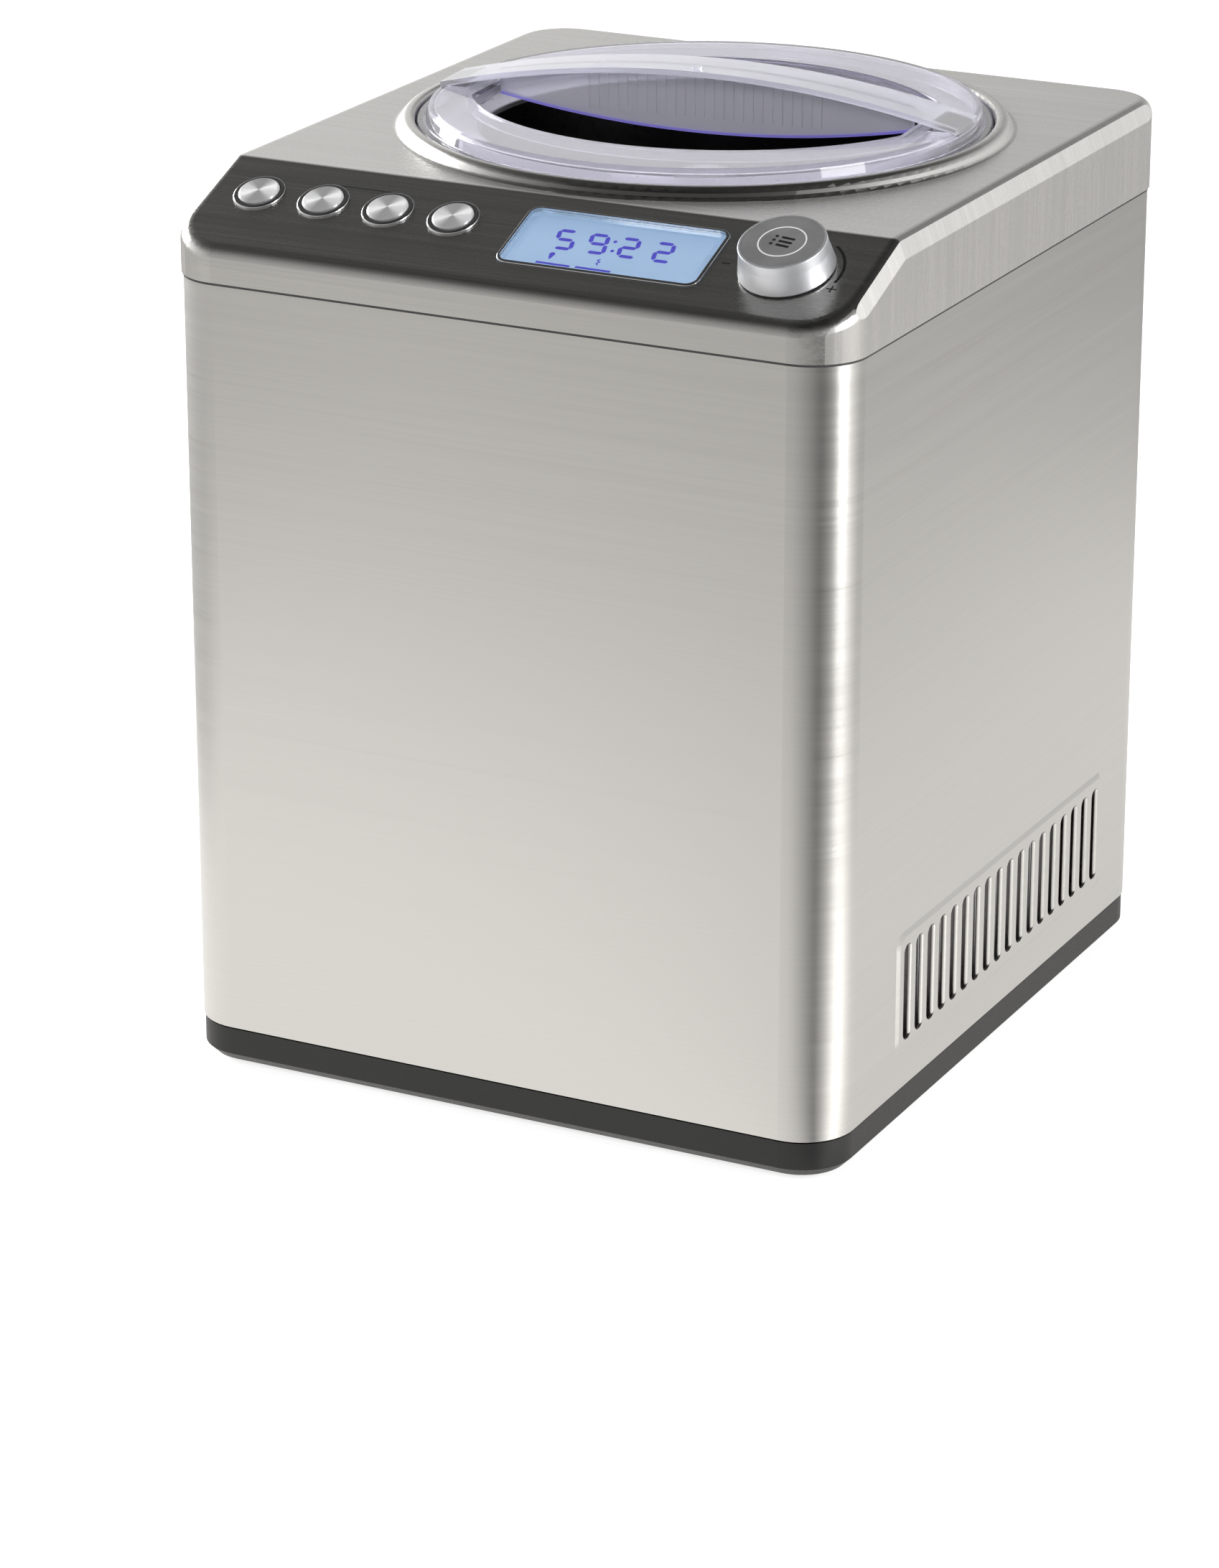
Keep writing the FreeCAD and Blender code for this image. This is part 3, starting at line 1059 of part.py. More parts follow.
def make_drum():
    inner = DRUM_RADIUS
    outer = inner + DRUM_WALL
    under = BOWL_FLANGE_Z - DRUM_FLANGE
    floor = DRUM_FLOOR_Z
    drum = turned([(BUSH_RADIUS, floor - DRUM_WALL, 0), (outer, floor - DRUM_WALL, DRUM_CORNER + DRUM_WALL),
                   (outer, under, 0),
                   (DRUM_FLANGE_RADIUS, under, 0), (DRUM_FLANGE_RADIUS, BOWL_FLANGE_Z, 0),
                   (inner, BOWL_FLANGE_Z, 0), (inner, floor, DRUM_CORNER), (BUSH_RADIUS, floor, 0)])
    for angle in LOCATING_ANGLES:
        x, y = polar(LOCATING_CIRCLE, angle)
        drum = drum.fuse(rod(LOCATING_PIN_RADIUS, under, BOWL_FLANGE_Z + BOWL_FLANGE - PIN_DROP, x, y))
    save("cooling_drum", drum.removeSplitter())
    seal_z = BOWL_FLANGE_Z
    save("chamber_seal", tube(COLLAR_OPENING + SEAL_FIT, DRUM_FLANGE_RADIUS, seal_z,
                              TOP_Z - COLLAR_FLANGE_DROP, 0.0, LID_BACK))

    first_z = under - COIL_DROP
    coil = None
    for turn in range(COIL_TURNS):
        loop = Part.makeTorus(COIL_RADIUS, COIL_TUBE_RADIUS, Vector(0, LID_BACK, first_z - COIL_PITCH * turn))
        coil = loop if coil is None else coil.fuse(loop)
    for angle in STUB_ANGLES:
        x, y = polar(COIL_RADIUS, angle)
        coil = coil.fuse(rod(PIPE_RADIUS, STUB_Z, first_z, x, y))
    save("evaporator_coil", coil)

    slab_top = floor - DRUM_WALL - FIT_GAP
    slab_bottom = slab_top - FOAM_FLOOR
    foam_top = under - FOAM_TOP_DROP
    foam = turned([(FOAM_BORE, slab_bottom, 0), (HOUSING_INNER - FIT_GAP, slab_bottom, 2.0),
                   (HOUSING_INNER - FIT_GAP, foam_top, 0), (FOAM_INNER, foam_top, 0),
                   (FOAM_INNER, slab_top, 0), (FOAM_BORE, slab_top, 0)])
    housing = turned([(HOUSING_BORE, HOUSING_FLOOR_Z, 0), (HOUSING_RADIUS, HOUSING_FLOOR_Z, 4.0),
                      (HOUSING_RADIUS, HOUSING_EAR_Z, 0), (HOUSING_EAR_RADIUS, HOUSING_EAR_Z, 0),
                      (HOUSING_EAR_RADIUS, HOUSING_EAR_Z + HOUSING_EAR_HEIGHT, 0),
                      (HOUSING_RADIUS, HOUSING_EAR_Z + HOUSING_EAR_HEIGHT, 0), (HOUSING_RADIUS, under, 0),
                      (HOUSING_INNER, under, 0), (HOUSING_INNER, slab_bottom, 1.5),
                      (HOUSING_BORE, slab_bottom, 0)])
    for angle in STUB_ANGLES:
        x, y = polar(COIL_RADIUS, angle)
        hole = rod(PIPE_RADIUS + STUB_FIT, HOUSING_FLOOR_Z, slab_top, x, y)
        foam = foam.cut(hole)
        housing = housing.cut(hole)
    screws = []
    for angle in HOUSING_SCREW_ANGLES:
        x, y = polar(HOUSING_SCREW_CIRCLE, angle)
        housing = housing.cut(rod(SCREW_HOLE_RADIUS, HOUSING_EAR_Z, HOUSING_EAR_Z + HOUSING_EAR_HEIGHT, x, y))
        screws.append(moved(screw(HOUSING_SCREW_LENGTH), x, y, HOUSING_EAR_Z + HOUSING_EAR_HEIGHT))
    save("foam_insulation", foam)
    save("drum_housing", housing)
    save("housing_screws", *screws)


# Gear motor under the drum
STUB_Z = HOUSING_FLOOR_Z - 8.0
GEARBOX_TOP_Z = HOUSING_FLOOR_Z
GEARBOX_Z = GEARBOX_TOP_Z - GEARBOX_HEIGHT
CASE_WALL = 3.0
SLOW_CENTRES = SLOW_MODULE * (PINION_TEETH + WHEEL_TEETH) / 2
FAST_CENTRES = FAST_MODULE * (PINION_TEETH + WHEEL_TEETH) / 2
IDLER_Y = LID_BACK - SLOW_CENTRES
MOTOR_Y = IDLER_Y - FAST_CENTRES
CASE_HALF_WIDTH = SLOW_MODULE * (WHEEL_TEETH / 2 + 1) + 2.5 + CASE_WALL
CASE_BACK = LID_BACK + CASE_HALF_WIDTH
CASE_FRONT = MOTOR_Y - FAST_MODULE * (PINION_TEETH / 2 + 1) - 4.0 - CASE_WALL
FAST_GEAR_Z = GEARBOX_Z + CASE_WALL + 6.0
SLOW_GEAR_Z = FAST_GEAR_Z + GEAR_WIDTH + 4.0
IDLER_PIN_RADIUS = 3.0
MOTOR_SHAFT_RADIUS = 3.0
LOWER_BUSH_RADIUS = 8.0
BOSS_HEIGHT = 2.0
HUB_RIM = 4.0
EAR_RADIUS = 6.0
EAR_INSET = 12.0
EAR_OUT = 2.0
CASE_CORNER = 14.0
PINION_OVERLAP = 1.0
SHAFT_END = 3.0
MOTOR_SHAFT_DEPTH = 20.0
MOTOR_BORE_DEPTH = 21.0
MOTOR_TAIL_RADIUS = 0.4 * MOTOR_RADIUS
MOTOR_TAIL = 6.0
MOTOR_SHAFT_HOLE = 1.5


def gearbox_ears():
    x = CASE_HALF_WIDTH + EAR_OUT
    return [(sx * x, y) for sx in (-1, 1) for y in (CASE_FRONT + EAR_INSET, CASE_BACK - EAR_INSET)]


def make_drive():
    split_z = GEARBOX_Z + CASE_WALL
    shaft_low = GEARBOX_Z + 1.0
    shaft = rod(SHAFT_RADIUS, shaft_low, SHAFT_HEX_Z, 0.0, LID_BACK)
    shaft = shaft.fuse(hexagon(SHAFT_HEX, SHAFT_HEX_Z, SHAFT_TOP_Z, LID_BACK))
    save("drive_shaft", shaft.removeSplitter())

    wheel = gear(WHEEL_TEETH, SLOW_MODULE, SLOW_GEAR_Z, SLOW_GEAR_Z + GEAR_WIDTH, LID_BACK, -90.0)
    wheel_hub = rod(SHAFT_RADIUS + HUB_RIM, split_z + BOSS_HEIGHT + FIT_GAP,
                    GEARBOX_TOP_Z - 2 * CASE_WALL - FIT_GAP, 0.0, LID_BACK)
    wheel = wheel.fuse(wheel_hub)
    wheel = wheel.cut(rod(SHAFT_RADIUS + RUNNING_FIT, GEARBOX_Z, GEARBOX_TOP_Z, 0.0, LID_BACK))
    save("output_gear", wheel)

    slow_pinion_tooth = 90.0 + 180.0 / PINION_TEETH
    idler = gear(WHEEL_TEETH, FAST_MODULE, FAST_GEAR_Z, FAST_GEAR_Z + GEAR_WIDTH, IDLER_Y, -90.0)
    idler = idler.fuse(gear(PINION_TEETH, SLOW_MODULE, FAST_GEAR_Z + GEAR_WIDTH,
                            SLOW_GEAR_Z + GEAR_WIDTH + PINION_OVERLAP, IDLER_Y, slow_pinion_tooth))
    idler_hub = rod(IDLER_PIN_RADIUS + HUB_RIM, split_z + FIT_GAP, GEARBOX_TOP_Z - CASE_WALL - FIT_GAP,
                    0.0, IDLER_Y)
    idler = idler.fuse(idler_hub)
    idler = idler.cut(rod(IDLER_PIN_RADIUS + RUNNING_FIT, GEARBOX_Z, GEARBOX_TOP_Z, 0.0, IDLER_Y))
    save("idler_gear", idler)
    save("idler_pin", rod(IDLER_PIN_RADIUS, GEARBOX_Z, GEARBOX_TOP_Z - FIT_GAP, 0.0, IDLER_Y))

    motor_top = GEARBOX_Z
    pinion_tooth = 90.0 + 180.0 / PINION_TEETH
    pinion_end = FAST_GEAR_Z + GEAR_WIDTH
    pinion = gear(PINION_TEETH, FAST_MODULE, FAST_GEAR_Z - PINION_OVERLAP, pinion_end + PINION_OVERLAP,
                  MOTOR_Y, pinion_tooth)
    pinion = pinion.fuse(rod(MOTOR_SHAFT_RADIUS, motor_top - MOTOR_SHAFT_DEPTH, pinion_end + SHAFT_END,
                             0.0, MOTOR_Y))
    save("motor_pinion", pinion)

    motor_low = motor_top - MOTOR_LENGTH
    motor = turned([(0, motor_low, 0), (MOTOR_RADIUS, motor_low, 4.0),
                    (MOTOR_RADIUS, motor_top, 1.0), (0, motor_top, 0)], MOTOR_Y)
    motor = motor.fuse(rod(MOTOR_TAIL_RADIUS, motor_low - MOTOR_TAIL, motor_low, 0.0, MOTOR_Y))
    motor = motor.cut(rod(MOTOR_SHAFT_RADIUS + RUNNING_FIT, motor_top - MOTOR_BORE_DEPTH, motor_top,
                          0.0, MOTOR_Y))
    save("drive_motor", motor.removeSplitter())

    length = CASE_BACK - CASE_FRONT
    middle = (CASE_BACK + CASE_FRONT) / 2
    case = block(2 * CASE_HALF_WIDTH, length, CASE_CORNER, split_z, GEARBOX_TOP_Z, 0.0, middle)
    for x, y in gearbox_ears():
        case = case.fuse(rod(EAR_RADIUS, split_z, GEARBOX_TOP_Z, x, y))
    case = case.cut(block(2 * (CASE_HALF_WIDTH - CASE_WALL), length - 2 * CASE_WALL,
                          CASE_CORNER - CASE_WALL, split_z, GEARBOX_TOP_Z - CASE_WALL, 0.0, middle))
    case = case.fuse(rod(LOWER_BUSH_RADIUS + CASE_WALL, GEARBOX_TOP_Z - 2 * CASE_WALL, GEARBOX_TOP_Z,
                         0.0, LID_BACK))
    case = case.cut(rod(LOWER_BUSH_RADIUS, split_z, GEARBOX_TOP_Z, 0.0, LID_BACK))
    case = case.cut(rod(IDLER_PIN_RADIUS, split_z, GEARBOX_TOP_Z, 0.0, IDLER_Y))
    lower = block(2 * CASE_HALF_WIDTH, length, CASE_CORNER, GEARBOX_Z, split_z, 0.0, middle)
    for x, y in gearbox_ears():
        lower = lower.fuse(rod(EAR_RADIUS, GEARBOX_Z, split_z, x, y))
    lower = lower.fuse(rod(LOWER_BUSH_RADIUS + CASE_WALL, GEARBOX_Z, split_z + BOSS_HEIGHT, 0.0, LID_BACK))
    lower = lower.cut(rod(LOWER_BUSH_RADIUS, GEARBOX_Z, GEARBOX_TOP_Z, 0.0, LID_BACK))
    lower = lower.cut(rod(MOTOR_SHAFT_RADIUS + MOTOR_SHAFT_HOLE, GEARBOX_Z, split_z, 0.0, MOTOR_Y))
    lower = lower.cut(rod(IDLER_PIN_RADIUS, GEARBOX_Z, split_z, 0.0, IDLER_Y))
    screws = []
    fastening = screw(GEARBOX_HEIGHT - FIT_GAP)
    fastening.rotate(Vector(0, 0, 0), Vector(1, 0, 0), 180)
    for x, y in gearbox_ears():
        hole = rod(SCREW_HOLE_RADIUS, GEARBOX_Z, GEARBOX_TOP_Z, x, y)
        case = case.cut(hole)
        lower = lower.cut(hole)
        screws.append(moved(fastening, x, y, GEARBOX_Z))
    save("gearbox_case", case.removeSplitter())
    save("gearbox_cover", lower.removeSplitter())
    save("gearbox_screws", *screws)

    running = SHAFT_RADIUS + RUNNING_FIT
    drum_bush_z = DRUM_FLOOR_Z - DRUM_WALL - BUSH_BELOW
    drum_bush_top = DRUM_FLOOR_Z + BUSH_ABOVE
    drum_bush = tube(running, BUSH_RADIUS, drum_bush_z, drum_bush_top, 0.0, LID_BACK)
    case_bush = tube(running, LOWER_BUSH_RADIUS, GEARBOX_TOP_Z - 2 * CASE_WALL, GEARBOX_TOP_Z, 0.0, LID_BACK)
    cover_bush = tube(running, LOWER_BUSH_RADIUS, GEARBOX_Z, split_z + BOSS_HEIGHT, 0.0, LID_BACK)
    save("shaft_bushes", drum_bush, case_bush, cover_bush)
    save("shaft_seal", tube(running, BUSH_RADIUS, drum_bush_top, drum_bush_top + SEAL_HEIGHT, 0.0, LID_BACK))


# Compressor, condenser and fan
COMPRESSOR_Y = BODY_DEPTH / 2 - COMPRESSOR_DEPTH / 2 - COMPRESSOR_BACK_GAP
COMPRESSOR_Z = PLATE_Z + GROMMET_HEIGHT
FOOT_PLATE = 2.5
FOOT_PLATE_MARGIN = 14.0
FOOT_PLATE_CORNER = 12.0
COMPRESSOR_TOP_Z = COMPRESSOR_Z + FOOT_PLATE + COMPRESSOR_HEIGHT
CAN_CORNER = 40.0
CAN_EDGE = 16.0
CAN_SEAM_LEVEL = 0.52
CAN_SEAM_MARGIN = 5.0
CAN_SEAM_CORNER = 42.0
CAN_SEAM_HEIGHT = 4.0
BOLT_RADIUS = 3.0
GROMMET_RADIUS = 9.0
GROMMET_NECK_RADIUS = 5.4
GROMMET_LIP = 2.0
GROMMET_FIT = 0.1
GROMMET_INSET = (2.0, 4.0)
BOLT_HEAD = 10.0
BOLT_HEAD_HEIGHT = 5.0
BOLT_END = 1.0
BOLT_FLOOR_GAP = 0.2


def grommet_places():
    dx = COMPRESSOR_WIDTH / 2 - GROMMET_INSET[0]
    dy = COMPRESSOR_DEPTH / 2 - GROMMET_INSET[1]
    return [(COMPRESSOR_X + sx * dx, COMPRESSOR_Y + sy * dy) for sx in (-1, 1) for sy in (-1, 1)]


def make_compressor():
    foot_top = COMPRESSOR_Z + FOOT_PLATE
    plate = block(COMPRESSOR_WIDTH + FOOT_PLATE_MARGIN, COMPRESSOR_DEPTH + FOOT_PLATE_MARGIN,
                  FOOT_PLATE_CORNER, COMPRESSOR_Z, foot_top, COMPRESSOR_X, COMPRESSOR_Y)
    can = block(COMPRESSOR_WIDTH, COMPRESSOR_DEPTH, CAN_CORNER, foot_top, COMPRESSOR_TOP_Z,
                COMPRESSOR_X, COMPRESSOR_Y)
    can = can.makeFillet(CAN_EDGE, [e for e in can.Edges if e.BoundBox.ZMin > COMPRESSOR_TOP_Z - EDGE_PICK])
    seam_z = foot_top + COMPRESSOR_HEIGHT * CAN_SEAM_LEVEL
    seam = block(COMPRESSOR_WIDTH + CAN_SEAM_MARGIN, COMPRESSOR_DEPTH + CAN_SEAM_MARGIN, CAN_SEAM_CORNER,
                 seam_z, seam_z + CAN_SEAM_HEIGHT, COMPRESSOR_X, COMPRESSOR_Y)
    shell = plate.fuse([can, seam])
    bolts = []
    grommets = []
    head_z = foot_top + GROMMET_LIP
    head_top = head_z + BOLT_HEAD_HEIGHT
    bolt = rod(BOLT_RADIUS, BASE_FLOOR_Z + BOLT_FLOOR_GAP, head_top + BOLT_END)
    bolt = bolt.fuse(hexagon(BOLT_HEAD, head_z, head_top, 0.0))
    grommet = rod(GROMMET_RADIUS, PLATE_Z, COMPRESSOR_Z)
    grommet = grommet.fuse(rod(GROMMET_NECK_RADIUS, COMPRESSOR_Z, head_z))
    grommet = grommet.cut(rod(BOLT_RADIUS + GROMMET_FIT, PLATE_Z, head_z))
    for x, y in grommet_places():
        shell = shell.cut(rod(GROMMET_NECK_RADIUS + GROMMET_FIT, COMPRESSOR_Z, foot_top, x, y))
        bolts.append(moved(bolt.removeSplitter(), x, y, 0.0))
        grommets.append(moved(grommet.removeSplitter(), x, y, 0.0))
    save("compressor", shell.removeSplitter())
    save("compressor_bolts", *bolts)
    save("compressor_grommets", *grommets)


FIN_OUTER_X = BODY_WIDTH / 2 - CONDENSER_WALL_GAP
FIN_INNER_X = FIN_OUTER_X - CONDENSER_DEPTH
TUBE_X = (FIN_OUTER_X + FIN_INNER_X) / 2
CONDENSER_FRONT = VENT_BACK - CONDENSER_LENGTH / 2 - 4.0
CONDENSER_BACK = CONDENSER_FRONT + CONDENSER_LENGTH
CONDENSER_Z = PLATE_Z + 4.0
CONDENSER_TOP_Z = CONDENSER_Z + CONDENSER_ROWS * CONDENSER_PITCH
END_PLATE = 1.2
FAN_Y = (CONDENSER_FRONT + CONDENSER_BACK) / 2
FAN_Z = (CONDENSER_Z + CONDENSER_TOP_Z) / 2
SHROUD_X = FIN_INNER_X - 6.0
SHROUD_WALL = 2.0
FAN_RING = FAN_RADIUS + 2.0
FAN_WIDTH = 14.0
FAN_MOTOR_RADIUS = 19.0
FAN_HUB_RADIUS = 14.0
FAN_MOTOR_LENGTH = 18.0
TUBE_BEND = 9.0
TUBE_RETURN = 14.0
TUBE_TAIL = 4.0
TUBE_FIT = 0.1
FRAME_MARGIN = 2.0
FRAME_RISE = 3.0
FRAME_FOOT = 8.0
RING_WALL = 2.0
ARM_ANGLES = (90.0, 210.0, 330.0)
ARM_HALF_WIDTH = 3.0
ARM_DEPTH = 4.0
ARM_OVERLAP = 1.0
MOTOR_OVERHANG = 2.0
FAN_SHAFT_RADIUS = 2.0
FAN_SHAFT_LENGTH = 11.0
FAN_BORE_DEPTH = 12.0
FAN_HUB_GAP = 1.0
BLADE_HALF_DEPTH = 13.0
BLADE_HALF_THICKNESS = 1.0
BLADE_PITCH_ANGLE = 62.0


def tube_row_zs():
    return [CONDENSER_TOP_Z - CONDENSER_PITCH * (i + 0.5) for i in range(CONDENSER_ROWS)]


def make_condenser():
    rows = tube_row_zs()
    front = CONDENSER_FRONT - TUBE_RETURN
    back = CONDENSER_BACK + TUBE_RETURN
    points = [(TUBE_X, back, CONDENSER_TOP_Z + TUBE_RETURN)]
    for i, z in enumerate(rows):
        ends = (back, front) if i % 2 == 0 else (front, back)
        points.append((TUBE_X, ends[0], z))
        points.append((TUBE_X, ends[1], z))
    points.pop()
    points.append((TUBE_X, CONDENSER_BACK + TUBE_TAIL, rows[-1]))
    save("condenser_tube", pipe(points, PIPE_RADIUS, TUBE_BEND))

    holes = [deep_rod(PIPE_RADIUS + TUBE_FIT, CONDENSER_FRONT - FRAME_MARGIN, CONDENSER_BACK + FRAME_MARGIN,
                      TUBE_X, z) for z in rows]
    holes = Part.makeCompound(holes)
    fins = []
    pitch = CONDENSER_LENGTH / (FIN_COUNT + 1)
    for i in range(FIN_COUNT):
        y = CONDENSER_FRONT + pitch * (i + 1)
        fin = box(FIN_INNER_X, FIN_OUTER_X, y, y + FIN_THICKNESS, CONDENSER_Z, CONDENSER_TOP_Z)
        fins.append(fin.cut(holes))
    save("condenser_fins", *fins)

    plates = []
    plate_x = (SHROUD_X + SHROUD_WALL, FIN_OUTER_X + FRAME_MARGIN)
    for y in (CONDENSER_FRONT - END_PLATE, CONDENSER_BACK):
        plate = box(plate_x[0], plate_x[1], y, y + END_PLATE, PLATE_Z, CONDENSER_TOP_Z + FRAME_RISE)
        outward = -FRAME_FOOT if y < FAN_Y else FRAME_FOOT
        foot_y = sorted((y + END_PLATE / 2, y + END_PLATE / 2 + outward))
        foot = box(plate_x[0], plate_x[1], foot_y[0], foot_y[1], PLATE_Z, PLATE_Z + END_PLATE)
        plates.append(plate.cut(holes).fuse(foot).removeSplitter())
    save("condenser_frame", *plates)

    shroud = box(SHROUD_X, SHROUD_X + SHROUD_WALL, CONDENSER_FRONT - END_PLATE, CONDENSER_BACK + END_PLATE,
                 PLATE_Z, CONDENSER_TOP_Z + FRAME_RISE)
    ring_x = SHROUD_X - FAN_WIDTH
    shroud = shroud.fuse(cross_rod(FAN_RING + RING_WALL, ring_x, SHROUD_X, FAN_Y, FAN_Z))
    shroud = shroud.cut(cross_rod(FAN_RING, ring_x, SHROUD_X + SHROUD_WALL, FAN_Y, FAN_Z))
    motor_x = ring_x - FAN_MOTOR_LENGTH - MOTOR_OVERHANG
    arm_x = ring_x - ARM_DEPTH
    for angle in ARM_ANGLES:
        arm = box(arm_x, ring_x, -ARM_HALF_WIDTH, ARM_HALF_WIDTH, FAN_MOTOR_RADIUS - ARM_OVERLAP,
                  FAN_RING + RING_WALL)
        arm.rotate(Vector(0, 0, 0), Vector(1, 0, 0), angle)
        shroud = shroud.fuse(moved(arm, 0.0, FAN_Y, FAN_Z))
    cup = cross_rod(FAN_MOTOR_RADIUS + RING_WALL, arm_x, ring_x, FAN_Y, FAN_Z)
    seat = cross_rod(FAN_MOTOR_RADIUS + RUNNING_FIT, arm_x, ring_x, FAN_Y, FAN_Z)
    shroud = shroud.fuse(cup).cut(seat)
    save("fan_shroud", shroud.removeSplitter())

    motor = cross_rod(FAN_MOTOR_RADIUS, motor_x, ring_x, FAN_Y, FAN_Z)
    bore = cross_rod(FAN_SHAFT_RADIUS + RUNNING_FIT, ring_x - FAN_BORE_DEPTH, ring_x, FAN_Y, FAN_Z)
    save("fan_motor", motor.cut(bore))

    hub_x0 = ring_x + FAN_HUB_GAP
    hub_x1 = SHROUD_X
    rotor = cross_rod(FAN_HUB_RADIUS, hub_x0, hub_x1, FAN_Y, FAN_Z)
    rotor = rotor.fuse(cross_rod(FAN_SHAFT_RADIUS, ring_x - FAN_SHAFT_LENGTH, hub_x0, FAN_Y, FAN_Z))
    blade = box(-BLADE_HALF_THICKNESS, BLADE_HALF_THICKNESS, -BLADE_HALF_DEPTH, BLADE_HALF_DEPTH,
                FAN_HUB_RADIUS - RING_WALL, FAN_RADIUS)
    blade.rotate(Vector(0, 0, 0), Vector(0, 0, 1), BLADE_PITCH_ANGLE)
    envelope = cross_rod(FAN_RADIUS, hub_x0, hub_x1, FAN_Y, FAN_Z)
    blades = []
    for i in range(FAN_BLADES):
        copy = blade.copy()
        copy.rotate(Vector(0, 0, 0), Vector(1, 0, 0), 360.0 / FAN_BLADES * i)
        blades.append(moved(copy, (hub_x0 + hub_x1) / 2, FAN_Y, FAN_Z).common(envelope))
    save("fan_rotor", rotor.fuse(blades).removeSplitter())


DRIER_RADIUS = 9.0
DRIER_LENGTH = 76.0
DRIER_Z = 64.0
DRIER_NECK = 10.0
DRIER_CONE = 8.0
DRIER_BEND = 3.0
DRIER_NECK_WALL = 1.0
CAPILLARY_RADIUS = 0.6 * PIPE_RADIUS
DISCHARGE_OFFSET = 20.0


def make_pipes():
    liquid_x, liquid_y = polar(COIL_RADIUS, STUB_ANGLES[0])
    suction_x, suction_y = polar(COIL_RADIUS, STUB_ANGLES[1])
    neck = PIPE_RADIUS + DRIER_NECK_WALL
    drier_foot = DRIER_Z - DRIER_NECK
    drier_top = DRIER_Z + DRIER_LENGTH
    drier_end = drier_top + DRIER_NECK
    drier = turned([(0, drier_foot, 0), (neck, drier_foot, 0), (neck, DRIER_Z, 0),
                    (DRIER_RADIUS, DRIER_Z + DRIER_CONE, DRIER_BEND),
                    (DRIER_RADIUS, drier_top - DRIER_CONE, DRIER_BEND), (neck, drier_top, 0),
                    (neck, drier_end, 0), (0, drier_end, 0)], 0.0)
    save("filter_drier", moved(drier, liquid_x, liquid_y, 0.0))
    suction = rod(PIPE_RADIUS, COMPRESSOR_TOP_Z, STUB_Z, suction_x, suction_y)
    capillary = rod(CAPILLARY_RADIUS, drier_end, STUB_Z, liquid_x, liquid_y)
    last_row = tube_row_zs()[-1]
    liquid = pipe([(TUBE_X, CONDENSER_BACK + TUBE_TAIL, last_row), (TUBE_X, liquid_y, last_row),
                   (liquid_x, liquid_y, last_row), (liquid_x, liquid_y, drier_foot)], PIPE_RADIUS, TUBE_BEND)
    inlet_y = CONDENSER_BACK + TUBE_RETURN
    behind_y = max(inlet_y, suction_y) + 2 * TUBE_BEND + PIPE_RADIUS
    over_z = (COMPRESSOR_TOP_Z + GEARBOX_TOP_Z) / 2
    discharge_x = COMPRESSOR_X - DISCHARGE_OFFSET
    discharge = pipe([(discharge_x, inlet_y, COMPRESSOR_TOP_Z), (discharge_x, inlet_y, over_z),
                      (discharge_x, behind_y, over_z), (TUBE_X, behind_y, over_z), (TUBE_X, inlet_y, over_z),
                      (TUBE_X, inlet_y, CONDENSER_TOP_Z + TUBE_RETURN)], PIPE_RADIUS, TUBE_BEND)
    save("refrigerant_pipes", suction, capillary, liquid, discharge)


# Power board on the left
BRACKET_SIDE_GAP = 9.0
BRACKET_FRONT_GAP = 24.0
BRACKET_LENGTH = 104.0
BRACKET_HEIGHT = 132.0
BRACKET_FOOT = 14.0
BRACKET_STEP = 12.0
BRACKET_X = BRACKET_SIDE_GAP - BODY_WIDTH / 2
BRACKET_FRONT = BRACKET_FRONT_GAP - BODY_DEPTH / 2
BRACKET_BACK = BRACKET_FRONT + BRACKET_LENGTH
BRACKET_TOP_Z = PLATE_Z + BRACKET_HEIGHT
STANDOFF = 5.0
STANDOFF_RADIUS = 3.0
STANDOFF_INSET = 5.0
POWER_BOARD_MARGIN = 4.0
POWER_BOARD_RISE = 26.0
# Board components: how far each stands out, then its place along the board and up it
TRANSFORMER = (28.0, (8.0, 44.0), (10.0, 48.0))
RELAY = (16.0, (54.0, 74.0), (12.0, 28.0))
HEAT_SINK = (20.0, (56.0, 60.0), (66.0, 96.0))
TERMINALS = (11.0, (70.0, 90.0), (70.0, 94.0))
CAPACITOR = (24.0, 9.0, 66.0, 50.0)
CHOKE = (13.0, 11.0, 26.0, 76.0)


